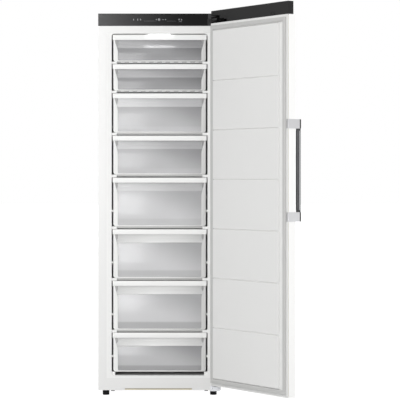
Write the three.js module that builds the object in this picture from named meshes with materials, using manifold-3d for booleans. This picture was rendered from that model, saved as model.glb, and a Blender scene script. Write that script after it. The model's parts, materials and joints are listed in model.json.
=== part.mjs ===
// Upright freezer, 595 mm wide and 1.85 m tall, with its door open and eight drawers.
// Millimetres. X runs to the right, Y to the back, Z up. The cabinet's front plane is Y = 0
// and the floor is Z = 0 while the model is made; the last lines move the origin to the
// middle of the footprint of the whole object.
import * as THREE from 'three';
import { mergeVertices } from 'three/addons/utils/BufferGeometryUtils.js';
import Module from 'manifold-3d';

const wasm = await Module();
wasm.setup();

// ---------------------------------------------------------------- driving dimensions
const SEAT_GAP = 0.3;            // between pieces that rest on each other without touching
const CUT_PAST = 5;              // how far a cutting tool runs past the face that it opens
const SINK = 1;                  // how far joined shapes run into each other
const ROUND_SIDES = 24;          // sides of a pin, bore or tube

// Cabinet, from the floor up and from the front back
const CABINET_WIDTH = 595;
const CABINET_DEPTH = 600;
const CABINET_BOTTOM = 25;
const PLINTH_HEIGHT = 70.7;      // from the cabinet's lower edge to the opening
const HEADER_HEIGHT = 36.9;      // from the opening to the control panel
const PANEL_HEIGHT = 60.5;
const PANEL_DEPTH = 28;
const PANEL_WALL = 2.5;
const STEEL_SHEET = 1.2;
const FRAME_WIDTH = 41;          // painted steel beside the liner's flange
const HINGE_ZONE_WIDTH = 62.5;
const TOP_COVER_HEIGHT = 12;
const TOP_COVER_WALL = 2.5;
const PLINTH_CUT_HEIGHT = 9;     // shallow cut-out in the front's lower edge
const PLINTH_CUT_LEFT = -168;
const PLINTH_CUT_RIGHT = 157;
const BACK_SHEET = 2;
const BOARD_LEFT = -95;
const BOARD_WIDTH = 120;
const BOARD_THICKNESS = 2;
const BOARD_MARGIN = 5.5;

// Insulation and the inside of the cabinet
const SIDE_FOAM = 65;            // from the outside to the opening
const BACK_FOAM = 55;
const LINER_WALL = 2;
const LINER_FLANGE_THICKNESS = 1.5;
const LINER_FLANGE_BELOW = 12;
const OPENING_CORNER = 14;
const MACHINE_ROOM_DEPTH = 200;
const STEP_WALL_FOAM = 58;       // between the machine room and the liner's lower back wall
const STEP_FOAM = 38;            // over the machine room
const STEP_BELOW_DRAWER = 2.2;   // the step under the top of the short lowest drawer

// Drawers, from the top down: front height and the gap under it
const DRAWER_FRONTS = [
  { height: 131.2, gap: 12.1 },
  { height: 129.2, gap: 12.7 },
  { height: 191.0, gap: 14.1 },
  { height: 189.0, gap: 15.0 },
  { height: 236.7, gap: 14.1 },
  { height: 236.2, gap: 14.0 },
  { height: 237.2, gap: 14.5 },
  { height: 189.0, gap: 17.5 },
];
const DRAWER_HEADROOM = 3.4;     // over the top drawer
const DRAWER_SIDE_GAP = 8;       // between a drawer and the liner
const DRAWER_BACK_GAP = 10;      // between a drawer and what stands behind it
const DRAWER_FRONT_Y = 10;
const RAIL_HEIGHT = 23;
const RAIL_THICKNESS = 3;
const POST_FRONT_Y = 13;
const POST_BACK_Y = 20;
const POST_WIDTH_TOP = 13;
const POST_WIDTH = 22;
const POST_SLANT_HEIGHT = 60;
const BOTTOM_BAR_HEIGHT = 6;
const FRAME_CORNER = 10;
const RECESS_HEIGHT = 42;
const RECESS_WALL_Y = 40;
const LEDGE_RISE = 20;           // the recess's ledge climbs by this from lip to back wall
const TUB_WALL = 2.2;
const TUB_FLOOR = 2.5;
const TUB_SIDE_GAP = 5;          // tub side inside the frame's outer edge
const TUB_BELOW_FRONT_TOP = 4;

// Shelves, the ribs that carry them and the blocks beside the gaps
const SHELF_THICKNESS = 4;
const SHELF_SIDE_GAP = 2;
const SHELF_BACK_GAP = 4;
const SHELF_FRONT_Y = 45;
const RIB_HEIGHT = 5.5;
const RIB_WIDTH = 12;
const BLOCK_WIDTH = 25;
const LOWEST_BLOCK_WIDTH = 16.5;
const BLOCK_FRONT_Y = 8;
const BLOCK_OVER_DRAWER = 1;
const NUB_WIDTH = 6.5;           // small guides on the side walls beside the lower drawers
const NUB_HEIGHT = 9;
const NUB_DEPTH = 22;
const NUB_LIFT = 71;
const FIRST_DRAWER_WITH_NUBS = 5;
const FLOOR_RIB_X = 160;
const FLOOR_RIB_WIDTH = 24;
const FLOOR_RIB_FRONT_Y = 170;   // out of sight under the lowest drawer

// Lamp in the ceiling
const LAMP_LENGTH = 104;
const LAMP_FRONT_Y = 14;
const LAMP_DEPTH = 30;
const LAMP_BELOW = 1.6;
const LAMP_HEIGHT = 11;
const LAMP_POCKET = 1;           // free room in the foam round the lamp

// Cold circuit behind the drawers
const DUCT_DEPTH = 76.7;
const DUCT_WALL = 3;
const DUCT_SIDE_GAP = 2.5;
const DUCT_ABOVE_STEP = 4;
const DUCT_BELOW_CEILING = 8.6;
const SLOT_LENGTH = 120;
const SLOT_HEIGHT = 7;
const SLOT_X = 120;
const SLOT_BELOW_TOP = 21;       // lower edge of a slot under the drawer's top
const EVAPORATOR_SIDE_GAP = 45;
const EVAPORATOR_BELOW_GAP = 24;
const EVAPORATOR_BEHIND_COVER = 19;
const EVAPORATOR_HEIGHT = 280;
const EVAPORATOR_PITCH = 15;
const EVAPORATOR_GROOVE = 11;
const FAN_ABOVE_EVAPORATOR = 130;
const FAN_RADIUS = 52;
const FAN_BEHIND_COVER = 8;
const FAN_THICKNESS = 18;
const FAN_BLADES = 5;
const FAN_BLADE_THICKNESS = 3;
const FAN_BLADE_WIDTH = 26;
const FAN_BLADE_TWIST = 0.5;     // radians
const HUB_RADIUS = 16;
const MOTOR_RADIUS = 26;
const MOTOR_CLEARANCE = 4;
const MOTOR_SHAFT_RADIUS = 4;
const MOTOR_PLATE = { width: 88, height: 24, thickness: 6 };

// Machine room
const BASE_SHEET = 3;
const BASE_LIFT = 2;
const COMPRESSOR_RADIUS = 75;
const COMPRESSOR_FROM_SIDE = 167.5;
const COMPRESSOR_FROM_BACK = 100;
const COMPRESSOR_HEADROOM = 40;
const COMPRESSOR_FOOT = { width: 180, depth: 80, height: 18 };
const TERMINAL_BOX = { reach: 33, width: 64, height: 64, lift: 60 };
const TRAY_SIZE = 160;
const TRAY_DEPTH = 156;
const TRAY_HEIGHT = 29.7;
const TRAY_WALL = 2;
const CONDENSER = { width: 190, height: 159.7, fromSide: 32.5, margin: 30, pitch: 16, groove: 12 };
const DRIER = { x: -30, radius: 11, fromBack: 80, height: 119.7 };
const INLET = { size: 44, fromSide: 75.5, depth: 40, wall: 7, sill: 10, back: 14 };

// Door, measured when it is closed
const DOOR_ABOVE_CABINET = 8;
const DOOR_LIFT = 27;            // door's lower edge over the cabinet's
const DOOR_INNER_Y = -13;
const DOOR_THICKNESS = 42;
const DOOR_OPEN_ANGLE = 125.65;
const DOOR_CAP_HEIGHT = 8;
const DOOR_TRIM_HEIGHT = 60;
const DOOR_TRIM_DEPTH = 31;
const DOOR_TRIM_WALL = 2.5;
const DOOR_LINER_SHEET = 2;
const DOOR_LINER_INSET = 1.5;
const TILE_MARGIN = { hinge: 29, free: 58, top: 36.5, bottom: 28 };
const TILE_HEIGHT = 10;
const TILE_BEVEL = 1.5;
const GROOVE_WIDTH = 7;
const GROOVE_DEPTH = 4;
const GROOVE_SPACING = 237;
const GROOVE_ABOVE_TILE = 247;   // the lowest groove over the tile's lower edge
const GROOVE_COUNT = 6;
const GASKET_MARGIN = { hinge: 8, free: 12, top: 12, bottom: 7 };
const GASKET_WIDTH = 20;
const GASKET_HEIGHT = 11;
const GASKET_FOOT_INSET = 3;
const GASKET_CORNER = 6;
const GASKET_INNER_CORNER = 1;

// Hinges
const HINGE_FROM_SIDE = 17.5;
const HINGE_FROM_INNER = 25;
const PIN_RADIUS = 5;
const BUSH_BORE = 5.3;
const BUSH_RADIUS = 9;
const BUSH_LENGTH = 16;
const PIN_SHORT = 4;             // how far a pin stays short of its bush's end
const HINGE_PLATE = 4;
const ARM_LEFT = 26;             // from the hinge's axis
const ARM_RIGHT = 3;
const HINGE_BOSS = 9;
const HINGE_FLANGE = 3;
const TOP_FLANGE = { left: 48, right: 10, below: 9, above: 18 };
const TOP_HINGE_LIFT = 8;        // the arm over the door's white body
const BOTTOM_FLANGE = { left: 34, right: 14, height: 27 };
const DOOR_OVER_HINGE = 5;
const TRIM_NOTCH_WIDTH = 68.5;
const TRIM_NOTCH_BELOW_TOP = 24;
const CLOSER_NOTCH = { length: 28, height: 14, depth: 8, besideHinge: 57, farther: 372 };

// Handle, on the door's free end
const HANDLE_BOTTOM = 854;
const HANDLE_LENGTH = 467;
const BRACKET_HEIGHT = 43;
const BRACKET_SHEET = 3;
const BRACKET_LIP = 11.3;
const BRACKET_LIP_SHEET = 1.6;
const BRACKET_LEG = 71;
const BRACKET_CURL = 1;          // how far the curl stands off the grip
const BRACKET_CURL_START = 1.12 * Math.PI;
const BRACKET_HEEL = 3;          // where the inside of the bracket leaves the door
const BRACKET_THROAT = 8;
const GRIP_RADIUS = 11.3;
const GRIP_INSET = 12;           // grip axis inside the door's free end
const GRIP_STANDOFF = 68.4;      // grip axis from the door's inner plane

// Feet and rollers
const FOOT_RADIUS = 16.5;
const FOOT_FROM_SIDE = 36.5;
const FOOT_Y = 30;
const STUD_RADIUS = 4;
const STUD_LENGTH = 25;
const STUD_CLEARANCE = 1;
const ROLLER_RADIUS = 14;
const ROLLER_WIDTH = 15;
const ROLLER_FROM_SIDE = 47.5;
const ROLLER_FROM_BACK = 30;
const ROLLER_SIDE_GAP = 1;
const ROLLER_WELL = 3;
const AXLE_RADIUS = 4;
const AXLE_CLEARANCE = 0.3;
const EAR_THICKNESS = 2.5;
const EAR_DEPTH = 24;
const EAR_DROP = 7;              // how far an ear reaches under the axle

// ---------------------------------------------------------------- worked out from these
const HALF_WIDTH = CABINET_WIDTH / 2;
const HALF_OPENING = HALF_WIDTH - SIDE_FOAM;
const HALF_DRAWER = HALF_OPENING - DRAWER_SIDE_GAP;
const OPENING_BOTTOM = CABINET_BOTTOM + PLINTH_HEIGHT;

// Each drawer's front, stacked up from the opening's lower edge and listed from the top.
function drawerLevels() {
  const levels = [];
  let bottom = OPENING_BOTTOM;
  for (const { height, gap } of [...DRAWER_FRONTS].reverse()) {
    bottom += gap;
    levels.unshift({ bottom, top: bottom + height, gap });
    bottom += height;
  }
  return levels;
}
const LEVELS = drawerLevels();
const LOWEST = LEVELS.at(-1);
const SHELF_LEVELS = LEVELS.slice(0, -1).map(({ bottom }) => bottom - SEAT_GAP - SHELF_THICKNESS);

const OPENING_TOP = LEVELS[0].top + DRAWER_HEADROOM;
const PANEL_BOTTOM = OPENING_TOP + HEADER_HEIGHT;
const CABINET_TOP = PANEL_BOTTOM + PANEL_HEIGHT;
const SIDE_TOP = CABINET_TOP - TOP_COVER_HEIGHT;
const LINER_FLANGE_TOP = OPENING_TOP + LINER_WALL;
const LINER_FLANGE_HALF = HALF_WIDTH - FRAME_WIDTH;
const LINER_FLANGE_BOTTOM = OPENING_BOTTOM - LINER_FLANGE_BELOW;

const LINER_DEPTH = CABINET_DEPTH - BACK_FOAM;
const MACHINE_ROOM_FRONT = CABINET_DEPTH - MACHINE_ROOM_DEPTH;
const STEP_DEPTH = MACHINE_ROOM_FRONT - STEP_WALL_FOAM;
const STEP_HEIGHT = LOWEST.top - STEP_BELOW_DRAWER;
const MACHINE_ROOM_TOP = STEP_HEIGHT - STEP_FOAM;

const DUCT_BACK = LINER_DEPTH - LINER_WALL - SEAT_GAP;
const DUCT_FRONT = DUCT_BACK - DUCT_DEPTH;
const SHELF_BACK_Y = DUCT_FRONT - SHELF_BACK_GAP;
const DRAWER_BACK_Y = SHELF_BACK_Y - DRAWER_BACK_GAP;
const SHORT_DRAWER_BACK_Y = STEP_DEPTH - LINER_WALL - DRAWER_BACK_GAP;

const DOOR_BOTTOM = CABINET_BOTTOM + DOOR_LIFT;
const DOOR_TOP = CABINET_TOP + DOOR_ABOVE_CABINET;
const DOOR_OUTER_Y = DOOR_INNER_Y - DOOR_THICKNESS;
const TRIM_BOTTOM = DOOR_TOP - DOOR_TRIM_HEIGHT;
const PAN_BOTTOM = DOOR_BOTTOM + DOOR_CAP_HEIGHT;
const PAN_INNER_Y = DOOR_INNER_Y - DOOR_LINER_SHEET;

const HINGE_X = HALF_WIDTH - HINGE_FROM_SIDE;
const HINGE_Y = DOOR_INNER_Y - HINGE_FROM_INNER;
const TOP_HINGE_Z = TRIM_BOTTOM + TOP_HINGE_LIFT;
const BOTTOM_HINGE_TOP = DOOR_BOTTOM - DOOR_OVER_HINGE;
const FOOT_X = HALF_WIDTH - FOOT_FROM_SIDE;
const ROLLER_X = HALF_WIDTH - ROLLER_FROM_SIDE;
const ROLLER_Y = CABINET_DEPTH - ROLLER_FROM_BACK;
const BASE_TOP = CABINET_BOTTOM + BASE_LIFT + BASE_SHEET;

// ---------------------------------------------------------------- materials
const paint = (color, roughness, metalness = 0) =>
  new THREE.MeshStandardMaterial({ color, roughness, metalness });

const whitePaint = paint(0xf1f1ef, 0.35);
const whitePlastic = paint(0xf3f3f1, 0.45);
const blackGloss = paint(0x1c1c1d, 0.15);
const blackPlastic = paint(0x202020, 0.55);
const clearPlastic = new THREE.MeshStandardMaterial({
  color: 0xdfe3e4, roughness: 0.3, metalness: 0, transparent: true, opacity: 0.45,
});
const shelfGlass = new THREE.MeshStandardMaterial({
  color: 0xd5e2dd, roughness: 0.08, metalness: 0, transparent: true, opacity: 0.4,
});
const gasketRubber = paint(0xe0e0df, 0.7);
const zincSteel = paint(0xa8abad, 0.4, 0.9);
const handleMetal = paint(0x6a6b6d, 0.35, 0.9);
const finAluminium = paint(0xc9ccd0, 0.35, 0.9);
const foamYellow = paint(0xe6d9a8, 0.95);
const blackEnamel = paint(0x151515, 0.5, 0.3);
const boardGreen = paint(0x1f6b3a, 0.6);
const lampLens = paint(0xfafcff, 0.2);
const rollerPlastic = paint(0x2b2b2b, 0.6);
const bushPlastic = paint(0xdddcd6, 0.5);

// ---------------------------------------------------------------- shapes
// A box between two corners.
function block([x0, x1], [y0, y1], [z0, z1]) {
  const box = new THREE.BoxGeometry(x1 - x0, y1 - y0, z1 - z0);
  return box.translate((x0 + x1) / 2, (y0 + y1) / 2, (z0 + z1) / 2);
}

// A box whose back face, at the higher Y, is drawn in by the inset on all sides.
function bevelled([x0, x1], [y0, y1], [z0, z1], inset) {
  const body = block([x0, x1], [y0, y1], [z0, z1]);
  const place = body.attributes.position;
  for (let i = 0; i < place.count; i += 1) {
    if (place.getY(i) > (y0 + y1) / 2) {
      place.setX(i, place.getX(i) < 0 ? x0 + inset : x1 - inset);
      place.setZ(i, place.getZ(i) < (z0 + z1) / 2 ? z0 + inset : z1 - inset);
    }
  }
  return body;
}

// An upright cylinder.
function post(x, y, [z0, z1], radius, sides = ROUND_SIDES) {
  const cylinder = new THREE.CylinderGeometry(radius, radius, z1 - z0, sides);
  return cylinder.rotateX(Math.PI / 2).translate(x, y, (z0 + z1) / 2);
}

// A cylinder along X.
function bar([x0, x1], y, z, radius, sides = ROUND_SIDES) {
  const cylinder = new THREE.CylinderGeometry(radius, radius, x1 - x0, sides);
  return cylinder.rotateZ(Math.PI / 2).translate((x0 + x1) / 2, y, z);
}

// A cylinder along Y.
function plug(x, [y0, y1], z, radius, sides = ROUND_SIDES) {
  const cylinder = new THREE.CylinderGeometry(radius, radius, y1 - y0, sides);
  return cylinder.translate(x, (y0 + y1) / 2, z);
}

function roundedRect([x0, x1], [z0, z1], radius) {
  const shape = new THREE.Shape();
  shape.moveTo(x0 + radius, z0);
  shape.lineTo(x1 - radius, z0);
  shape.absarc(x1 - radius, z0 + radius, radius, -Math.PI / 2, 0);
  shape.lineTo(x1, z1 - radius);
  shape.absarc(x1 - radius, z1 - radius, radius, 0, Math.PI / 2);
  shape.lineTo(x0 + radius, z1);
  shape.absarc(x0 + radius, z1 - radius, radius, Math.PI / 2, Math.PI);
  shape.lineTo(x0, z0 + radius);
  shape.absarc(x0 + radius, z0 + radius, radius, Math.PI, 1.5 * Math.PI);
  return shape;
}

// An outline drawn in X and Z, pushed back from y0 to y1.
function pushBack(shape, [y0, y1], curveSegments = 4) {
  const depth = y1 - y0;
  const body = new THREE.ExtrudeGeometry(shape, { depth, bevelEnabled: false, curveSegments });
  return body.rotateX(Math.PI / 2).translate(0, y1, 0);
}

// An outline drawn in Y and Z, pushed along X from x0 to x1.
function pushAcross(shape, [x0, x1]) {
  const body = new THREE.ExtrudeGeometry(shape, { depth: x1 - x0, bevelEnabled: false });
  return body.rotateX(Math.PI / 2).rotateZ(Math.PI / 2).translate(x0, 0, 0);
}

// An outline drawn in X and Y, pushed up from z0 to z1.
function pushUp(shape, [z0, z1], curveSegments = 4) {
  const depth = z1 - z0;
  const body = new THREE.ExtrudeGeometry(shape, { depth, bevelEnabled: false, curveSegments });
  return body.translate(0, 0, z0);
}

function outline(points) {
  return new THREE.Shape(points.map(([x, y]) => new THREE.Vector2(x, y)));
}

// ---------------------------------------------------------------- joining and cutting
function toSolid(geometry) {
  const plain = geometry.clone();
  plain.deleteAttribute('normal');
  plain.deleteAttribute('uv');
  const merged = mergeVertices(plain, 1e-4);
  return new wasm.Manifold(new wasm.Mesh({
    numProp: 3,
    vertProperties: new Float32Array(merged.attributes.position.array),
    triVerts: new Uint32Array(merged.index.array),
  }));
}

function toGeometry(solid) {
  const mesh = solid.getMesh();
  const geometry = new THREE.BufferGeometry();
  geometry.setAttribute('position', new THREE.BufferAttribute(mesh.vertProperties, 3));
  geometry.setIndex(new THREE.BufferAttribute(mesh.triVerts, 1));
  geometry.computeVertexNormals();
  return geometry;
}

// The first geometry with the others joined to it and the cuts taken away, trimmed to
// what lies inside the given shape where there is one.
function shaped({ join, cut = [], within = null }) {
  let solid = toSolid(join[0]);
  for (const piece of join.slice(1)) {
    solid = solid.add(toSolid(piece));
  }
  for (const tool of cut) {
    solid = solid.subtract(toSolid(tool));
  }
  if (within) {
    solid = solid.intersect(toSolid(within));
  }
  return toGeometry(solid);
}

function part(name, geometry, material, parent) {
  const mesh = new THREE.Mesh(geometry, material);
  mesh.name = name;
  parent.add(mesh);
  return mesh;
}

const both = (make) => [make(-1), make(1)];
const sideways = (side, near, far) => (side < 0 ? [-far, -near] : [near, far]);

// ---------------------------------------------------------------- cabinet
function cabinetShell() {
  const inside = HALF_WIDTH - STEEL_SHEET;
  const past = CABINET_DEPTH + CUT_PAST;
  return shaped({
    join: [block([-HALF_WIDTH, HALF_WIDTH], [0, CABINET_DEPTH], [CABINET_BOTTOM, SIDE_TOP])],
    cut: [
      block([-inside, inside], [STEEL_SHEET, past], [CABINET_BOTTOM + STEEL_SHEET, SIDE_TOP + CUT_PAST]),
      block([-inside, inside], [MACHINE_ROOM_FRONT, past], [0, CABINET_BOTTOM + 2 * STEEL_SHEET]),
      block([-LINER_FLANGE_HALF, LINER_FLANGE_HALF], [-CUT_PAST, CUT_PAST],
        [LINER_FLANGE_BOTTOM, LINER_FLANGE_TOP]),
      block([-HALF_WIDTH - CUT_PAST, HALF_WIDTH + CUT_PAST], [-CUT_PAST, PANEL_DEPTH],
        [PANEL_BOTTOM, SIDE_TOP + CUT_PAST]),
      block([PLINTH_CUT_LEFT, PLINTH_CUT_RIGHT], [-CUT_PAST, 2 * CUT_PAST],
        [0, CABINET_BOTTOM + PLINTH_CUT_HEIGHT]),
      ...both((side) => post(side * FOOT_X, FOOT_Y, [0, CABINET_BOTTOM + CUT_PAST],
        STUD_RADIUS + STUD_CLEARANCE)),
    ],
  });
}

function linerEnvelope(grow, front, back, stepBack, stepTop) {
  const body = pushBack(roundedRect([-HALF_OPENING - grow, HALF_OPENING + grow],
    [OPENING_BOTTOM - grow, OPENING_TOP + grow], OPENING_CORNER + grow), [front, back]);
  const wide = HALF_OPENING + grow + CUT_PAST;
  const machineStep = block([-wide, wide], [stepBack, back + CUT_PAST], [0, stepTop]);
  return shaped({ join: [body], cut: [machineStep] });
}

// Ribs that carry the glass shelves, blocks that fill the gaps' corners and carry the
// drawers' fronts, small guides beside the lower drawers and two ribs on the floor.
function linerFittings() {
  const wall = HALF_OPENING + SINK;
  const ribs = SHELF_LEVELS.flatMap((shelf) => both((side) => block(
    sideways(side, HALF_OPENING - RIB_WIDTH, wall),
    [SHELF_FRONT_Y - SINK, SHELF_BACK_Y], [shelf - RIB_HEIGHT, shelf])));
  const blocks = LEVELS.flatMap((level) => {
    const width = level === LOWEST ? LOWEST_BLOCK_WIDTH : BLOCK_WIDTH;
    const foot = level === LOWEST ? -SINK : BLOCK_OVER_DRAWER;
    return both((side) => block(sideways(side, HALF_OPENING - width, wall),
      [BLOCK_FRONT_Y, SHELF_FRONT_Y - SEAT_GAP],
      [level.bottom - level.gap + foot, level.bottom - SEAT_GAP]));
  });
  const nubs = LEVELS.slice(FIRST_DRAWER_WITH_NUBS - 1).flatMap(({ bottom }) => both((side) => block(
    sideways(side, HALF_OPENING - NUB_WIDTH, wall), [BLOCK_FRONT_Y, BLOCK_FRONT_Y + NUB_DEPTH],
    [bottom + NUB_LIFT, bottom + NUB_LIFT + NUB_HEIGHT])));
  const floorRibs = both((side) => block(
    sideways(side, FLOOR_RIB_X - FLOOR_RIB_WIDTH / 2, FLOOR_RIB_X + FLOOR_RIB_WIDTH / 2),
    [FLOOR_RIB_FRONT_Y, SHORT_DRAWER_BACK_Y], [OPENING_BOTTOM - SINK, LOWEST.bottom - SEAT_GAP]));
  return shaped({
    join: [...ribs, ...blocks, ...nubs, ...floorRibs],
    within: linerEnvelope(LINER_WALL / 2, 0, LINER_DEPTH, STEP_DEPTH, STEP_HEIGHT),
  });
}

function innerLiner() {
  const flangeWidth = [-LINER_FLANGE_HALF, LINER_FLANGE_HALF];
  const hull = shaped({
    join: [
      linerEnvelope(LINER_WALL, 0, LINER_DEPTH, STEP_DEPTH, STEP_HEIGHT),
      block(flangeWidth, [0, LINER_FLANGE_THICKNESS], [LINER_FLANGE_BOTTOM, LINER_FLANGE_TOP]),
    ],
    cut: [linerEnvelope(0, -CUT_PAST, LINER_DEPTH - LINER_WALL, STEP_DEPTH - LINER_WALL,
      STEP_HEIGHT + LINER_WALL)],
  });
  return shaped({
    join: [hull, linerFittings()],
    cut: [lampBlock(0, [OPENING_TOP - CUT_PAST, OPENING_TOP + CUT_PAST])],
  });
}

// A box round the lamp, larger than it by the given amount.
function lampBlock(grow, z) {
  return block([-LAMP_LENGTH / 2 - grow, LAMP_LENGTH / 2 + grow],
    [LAMP_FRONT_Y - grow, LAMP_FRONT_Y + LAMP_DEPTH + grow], z);
}

function cabinetFoam() {
  const half = HALF_WIDTH - STEEL_SHEET;
  return shaped({
    join: [block([-half, half], [STEEL_SHEET, CABINET_DEPTH],
      [CABINET_BOTTOM + STEEL_SHEET, SIDE_TOP])],
    cut: [
      linerEnvelope(LINER_WALL, -CUT_PAST, LINER_DEPTH, STEP_DEPTH, STEP_HEIGHT),
      block([-LINER_FLANGE_HALF, LINER_FLANGE_HALF], [0, LINER_FLANGE_THICKNESS],
        [LINER_FLANGE_BOTTOM, LINER_FLANGE_TOP]),
      block([-HALF_WIDTH, HALF_WIDTH], [MACHINE_ROOM_FRONT, CABINET_DEPTH + CUT_PAST],
        [0, MACHINE_ROOM_TOP]),
      block([-HALF_WIDTH, HALF_WIDTH], [0, PANEL_DEPTH], [PANEL_BOTTOM, CABINET_TOP]),
      block([PLINTH_CUT_LEFT, PLINTH_CUT_RIGHT], [0, 2 * CUT_PAST],
        [0, CABINET_BOTTOM + PLINTH_CUT_HEIGHT]),
      lampBlock(LAMP_POCKET, [OPENING_TOP, OPENING_TOP + LAMP_HEIGHT + LAMP_POCKET]),
      ...both((side) => post(side * FOOT_X, FOOT_Y,
        [0, CABINET_BOTTOM + STUD_LENGTH + CUT_PAST], STUD_RADIUS + 2 * STUD_CLEARANCE)),
    ],
  });
}

function topCover() {
  const inside = HALF_WIDTH - TOP_COVER_WALL;
  return shaped({
    join: [block([-HALF_WIDTH, HALF_WIDTH], [PANEL_DEPTH, CABINET_DEPTH], [SIDE_TOP, CABINET_TOP])],
    cut: [block([-inside, inside],
      [PANEL_DEPTH + TOP_COVER_WALL, CABINET_DEPTH - TOP_COVER_WALL],
      [SIDE_TOP - CUT_PAST, CABINET_TOP - TOP_COVER_WALL])],
  });
}

function frontBox(x0, x1) {
  return shaped({
    join: [block([x0, x1], [0, PANEL_DEPTH], [PANEL_BOTTOM, CABINET_TOP])],
    cut: [block([x0 + PANEL_WALL, x1 - PANEL_WALL], [PANEL_WALL, PANEL_DEPTH + CUT_PAST],
      [PANEL_BOTTOM + PANEL_WALL, CABINET_TOP - PANEL_WALL])],
  });
}

// An arm from the cabinet's front to a boss round the pin, and its flange on the cabinet.
function hingeArm([z0, z1], flangeX, flangeZ) {
  const [left, right] = [HINGE_X - ARM_LEFT, HINGE_X - ARM_RIGHT];
  const arm = outline([
    [left, 0], [left, HINGE_Y + HINGE_BOSS], [HINGE_X - HINGE_BOSS, HINGE_Y - HINGE_BOSS / 2],
    [HINGE_X, HINGE_Y - HINGE_BOSS], [HINGE_X + HINGE_BOSS - SINK, HINGE_Y],
    [right, HINGE_Y + 2 * HINGE_BOSS], [right, 0],
  ]);
  return [
    pushUp(arm, [z0, z1]),
    post(HINGE_X, HINGE_Y, [z0, z1], HINGE_BOSS),
    block(flangeX, [-HINGE_FLANGE, 0], flangeZ),
  ];
}

function topHinge() {
  const { left, right, below, above } = TOP_FLANGE;
  const pinEnd = TRIM_BOTTOM - BUSH_LENGTH + PIN_SHORT;
  return shaped({
    join: [
      ...hingeArm([TOP_HINGE_Z, TOP_HINGE_Z + HINGE_PLATE], [HINGE_X - left, HINGE_X + right],
        [TOP_HINGE_Z - below, TOP_HINGE_Z + above]),
      post(HINGE_X, HINGE_Y, [pinEnd, TOP_HINGE_Z + SINK], PIN_RADIUS),
    ],
  });
}

function bottomHinge() {
  const { left, right, height } = BOTTOM_FLANGE;
  const pinEnd = DOOR_BOTTOM + BUSH_LENGTH - PIN_SHORT;
  return shaped({
    join: [
      ...hingeArm([BOTTOM_HINGE_TOP - HINGE_PLATE, BOTTOM_HINGE_TOP],
        [HINGE_X - left, HINGE_X + right], [BOTTOM_HINGE_TOP - height, BOTTOM_HINGE_TOP]),
      post(HINGE_X, HINGE_Y, [BOTTOM_HINGE_TOP - SINK, pinEnd], PIN_RADIUS),
    ],
  });
}

// ---------------------------------------------------------------- cold circuit
const DUCT_HALF = HALF_OPENING - DUCT_SIDE_GAP;
const DUCT_BOTTOM = STEP_HEIGHT + LINER_WALL + DUCT_ABOVE_STEP;
const DUCT_TOP = OPENING_TOP - DUCT_BELOW_CEILING;
const EVAPORATOR_BOTTOM = DUCT_BOTTOM + EVAPORATOR_BELOW_GAP;
const FAN_Z = EVAPORATOR_BOTTOM + EVAPORATOR_HEIGHT + FAN_ABOVE_EVAPORATOR;
const FAN_FRONT = DUCT_FRONT + FAN_BEHIND_COVER;
const FAN_MIDDLE = FAN_FRONT + FAN_THICKNESS / 2;
const FAN_BACK = FAN_FRONT + FAN_THICKNESS;

function airDuctCover() {
  const slots = LEVELS.slice(0, -1).flatMap(({ top }) => both((side) => block(
    [side * SLOT_X - SLOT_LENGTH / 2, side * SLOT_X + SLOT_LENGTH / 2],
    [DUCT_FRONT - CUT_PAST, DUCT_FRONT + DUCT_WALL + CUT_PAST],
    [top - SLOT_BELOW_TOP, top - SLOT_BELOW_TOP + SLOT_HEIGHT])));
  const rim = block([-DUCT_HALF, DUCT_HALF], [DUCT_FRONT, DUCT_BACK], [DUCT_BOTTOM, DUCT_TOP]);
  const inner = block([-DUCT_HALF + DUCT_WALL, DUCT_HALF - DUCT_WALL],
    [DUCT_FRONT + DUCT_WALL, DUCT_BACK + CUT_PAST],
    [DUCT_BOTTOM + DUCT_WALL, DUCT_TOP - DUCT_WALL]);
  return shaped({ join: [rim], cut: [inner, ...slots] });
}

// Fins that stand on a thin web at their back, cut out of one block.
const FIN_DEPTH_SHARE = 0.8;
function finnedBlock([x0, x1], [y0, y1], [z0, z1], pitch, groove) {
  const grooves = [];
  const grooveBack = y0 + (y1 - y0) * FIN_DEPTH_SHARE;
  for (let x = x0 + pitch; x + groove < x1; x += pitch) {
    grooves.push(block([x, x + groove], [y0 - CUT_PAST, grooveBack],
      [z0 - CUT_PAST, z1 + CUT_PAST]));
  }
  return shaped({ join: [block([x0, x1], [y0, y1], [z0, z1])], cut: grooves });
}

function evaporator() {
  const half = DUCT_HALF - EVAPORATOR_SIDE_GAP;
  return finnedBlock([-half, half], [DUCT_FRONT + EVAPORATOR_BEHIND_COVER, DUCT_BACK],
    [EVAPORATOR_BOTTOM, EVAPORATOR_BOTTOM + EVAPORATOR_HEIGHT], EVAPORATOR_PITCH,
    EVAPORATOR_GROOVE);
}

function fanRotor() {
  const root = HUB_RADIUS - CUT_PAST;
  const blades = [];
  for (let i = 0; i < FAN_BLADES; i += 1) {
    const blade = new THREE.BoxGeometry(FAN_RADIUS - root, FAN_BLADE_THICKNESS, FAN_BLADE_WIDTH);
    blade.rotateX(FAN_BLADE_TWIST).translate((FAN_RADIUS + root) / 2, 0, 0);
    blade.rotateY((i * 2 * Math.PI) / FAN_BLADES).translate(0, FAN_MIDDLE, FAN_Z);
    blades.push(blade);
  }
  return shaped({
    join: [plug(0, [FAN_FRONT, FAN_BACK], FAN_Z, HUB_RADIUS), ...blades],
    cut: [plug(0, [FAN_MIDDLE, FAN_BACK + CUT_PAST], FAN_Z, MOTOR_SHAFT_RADIUS + SEAT_GAP)],
  });
}

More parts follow.
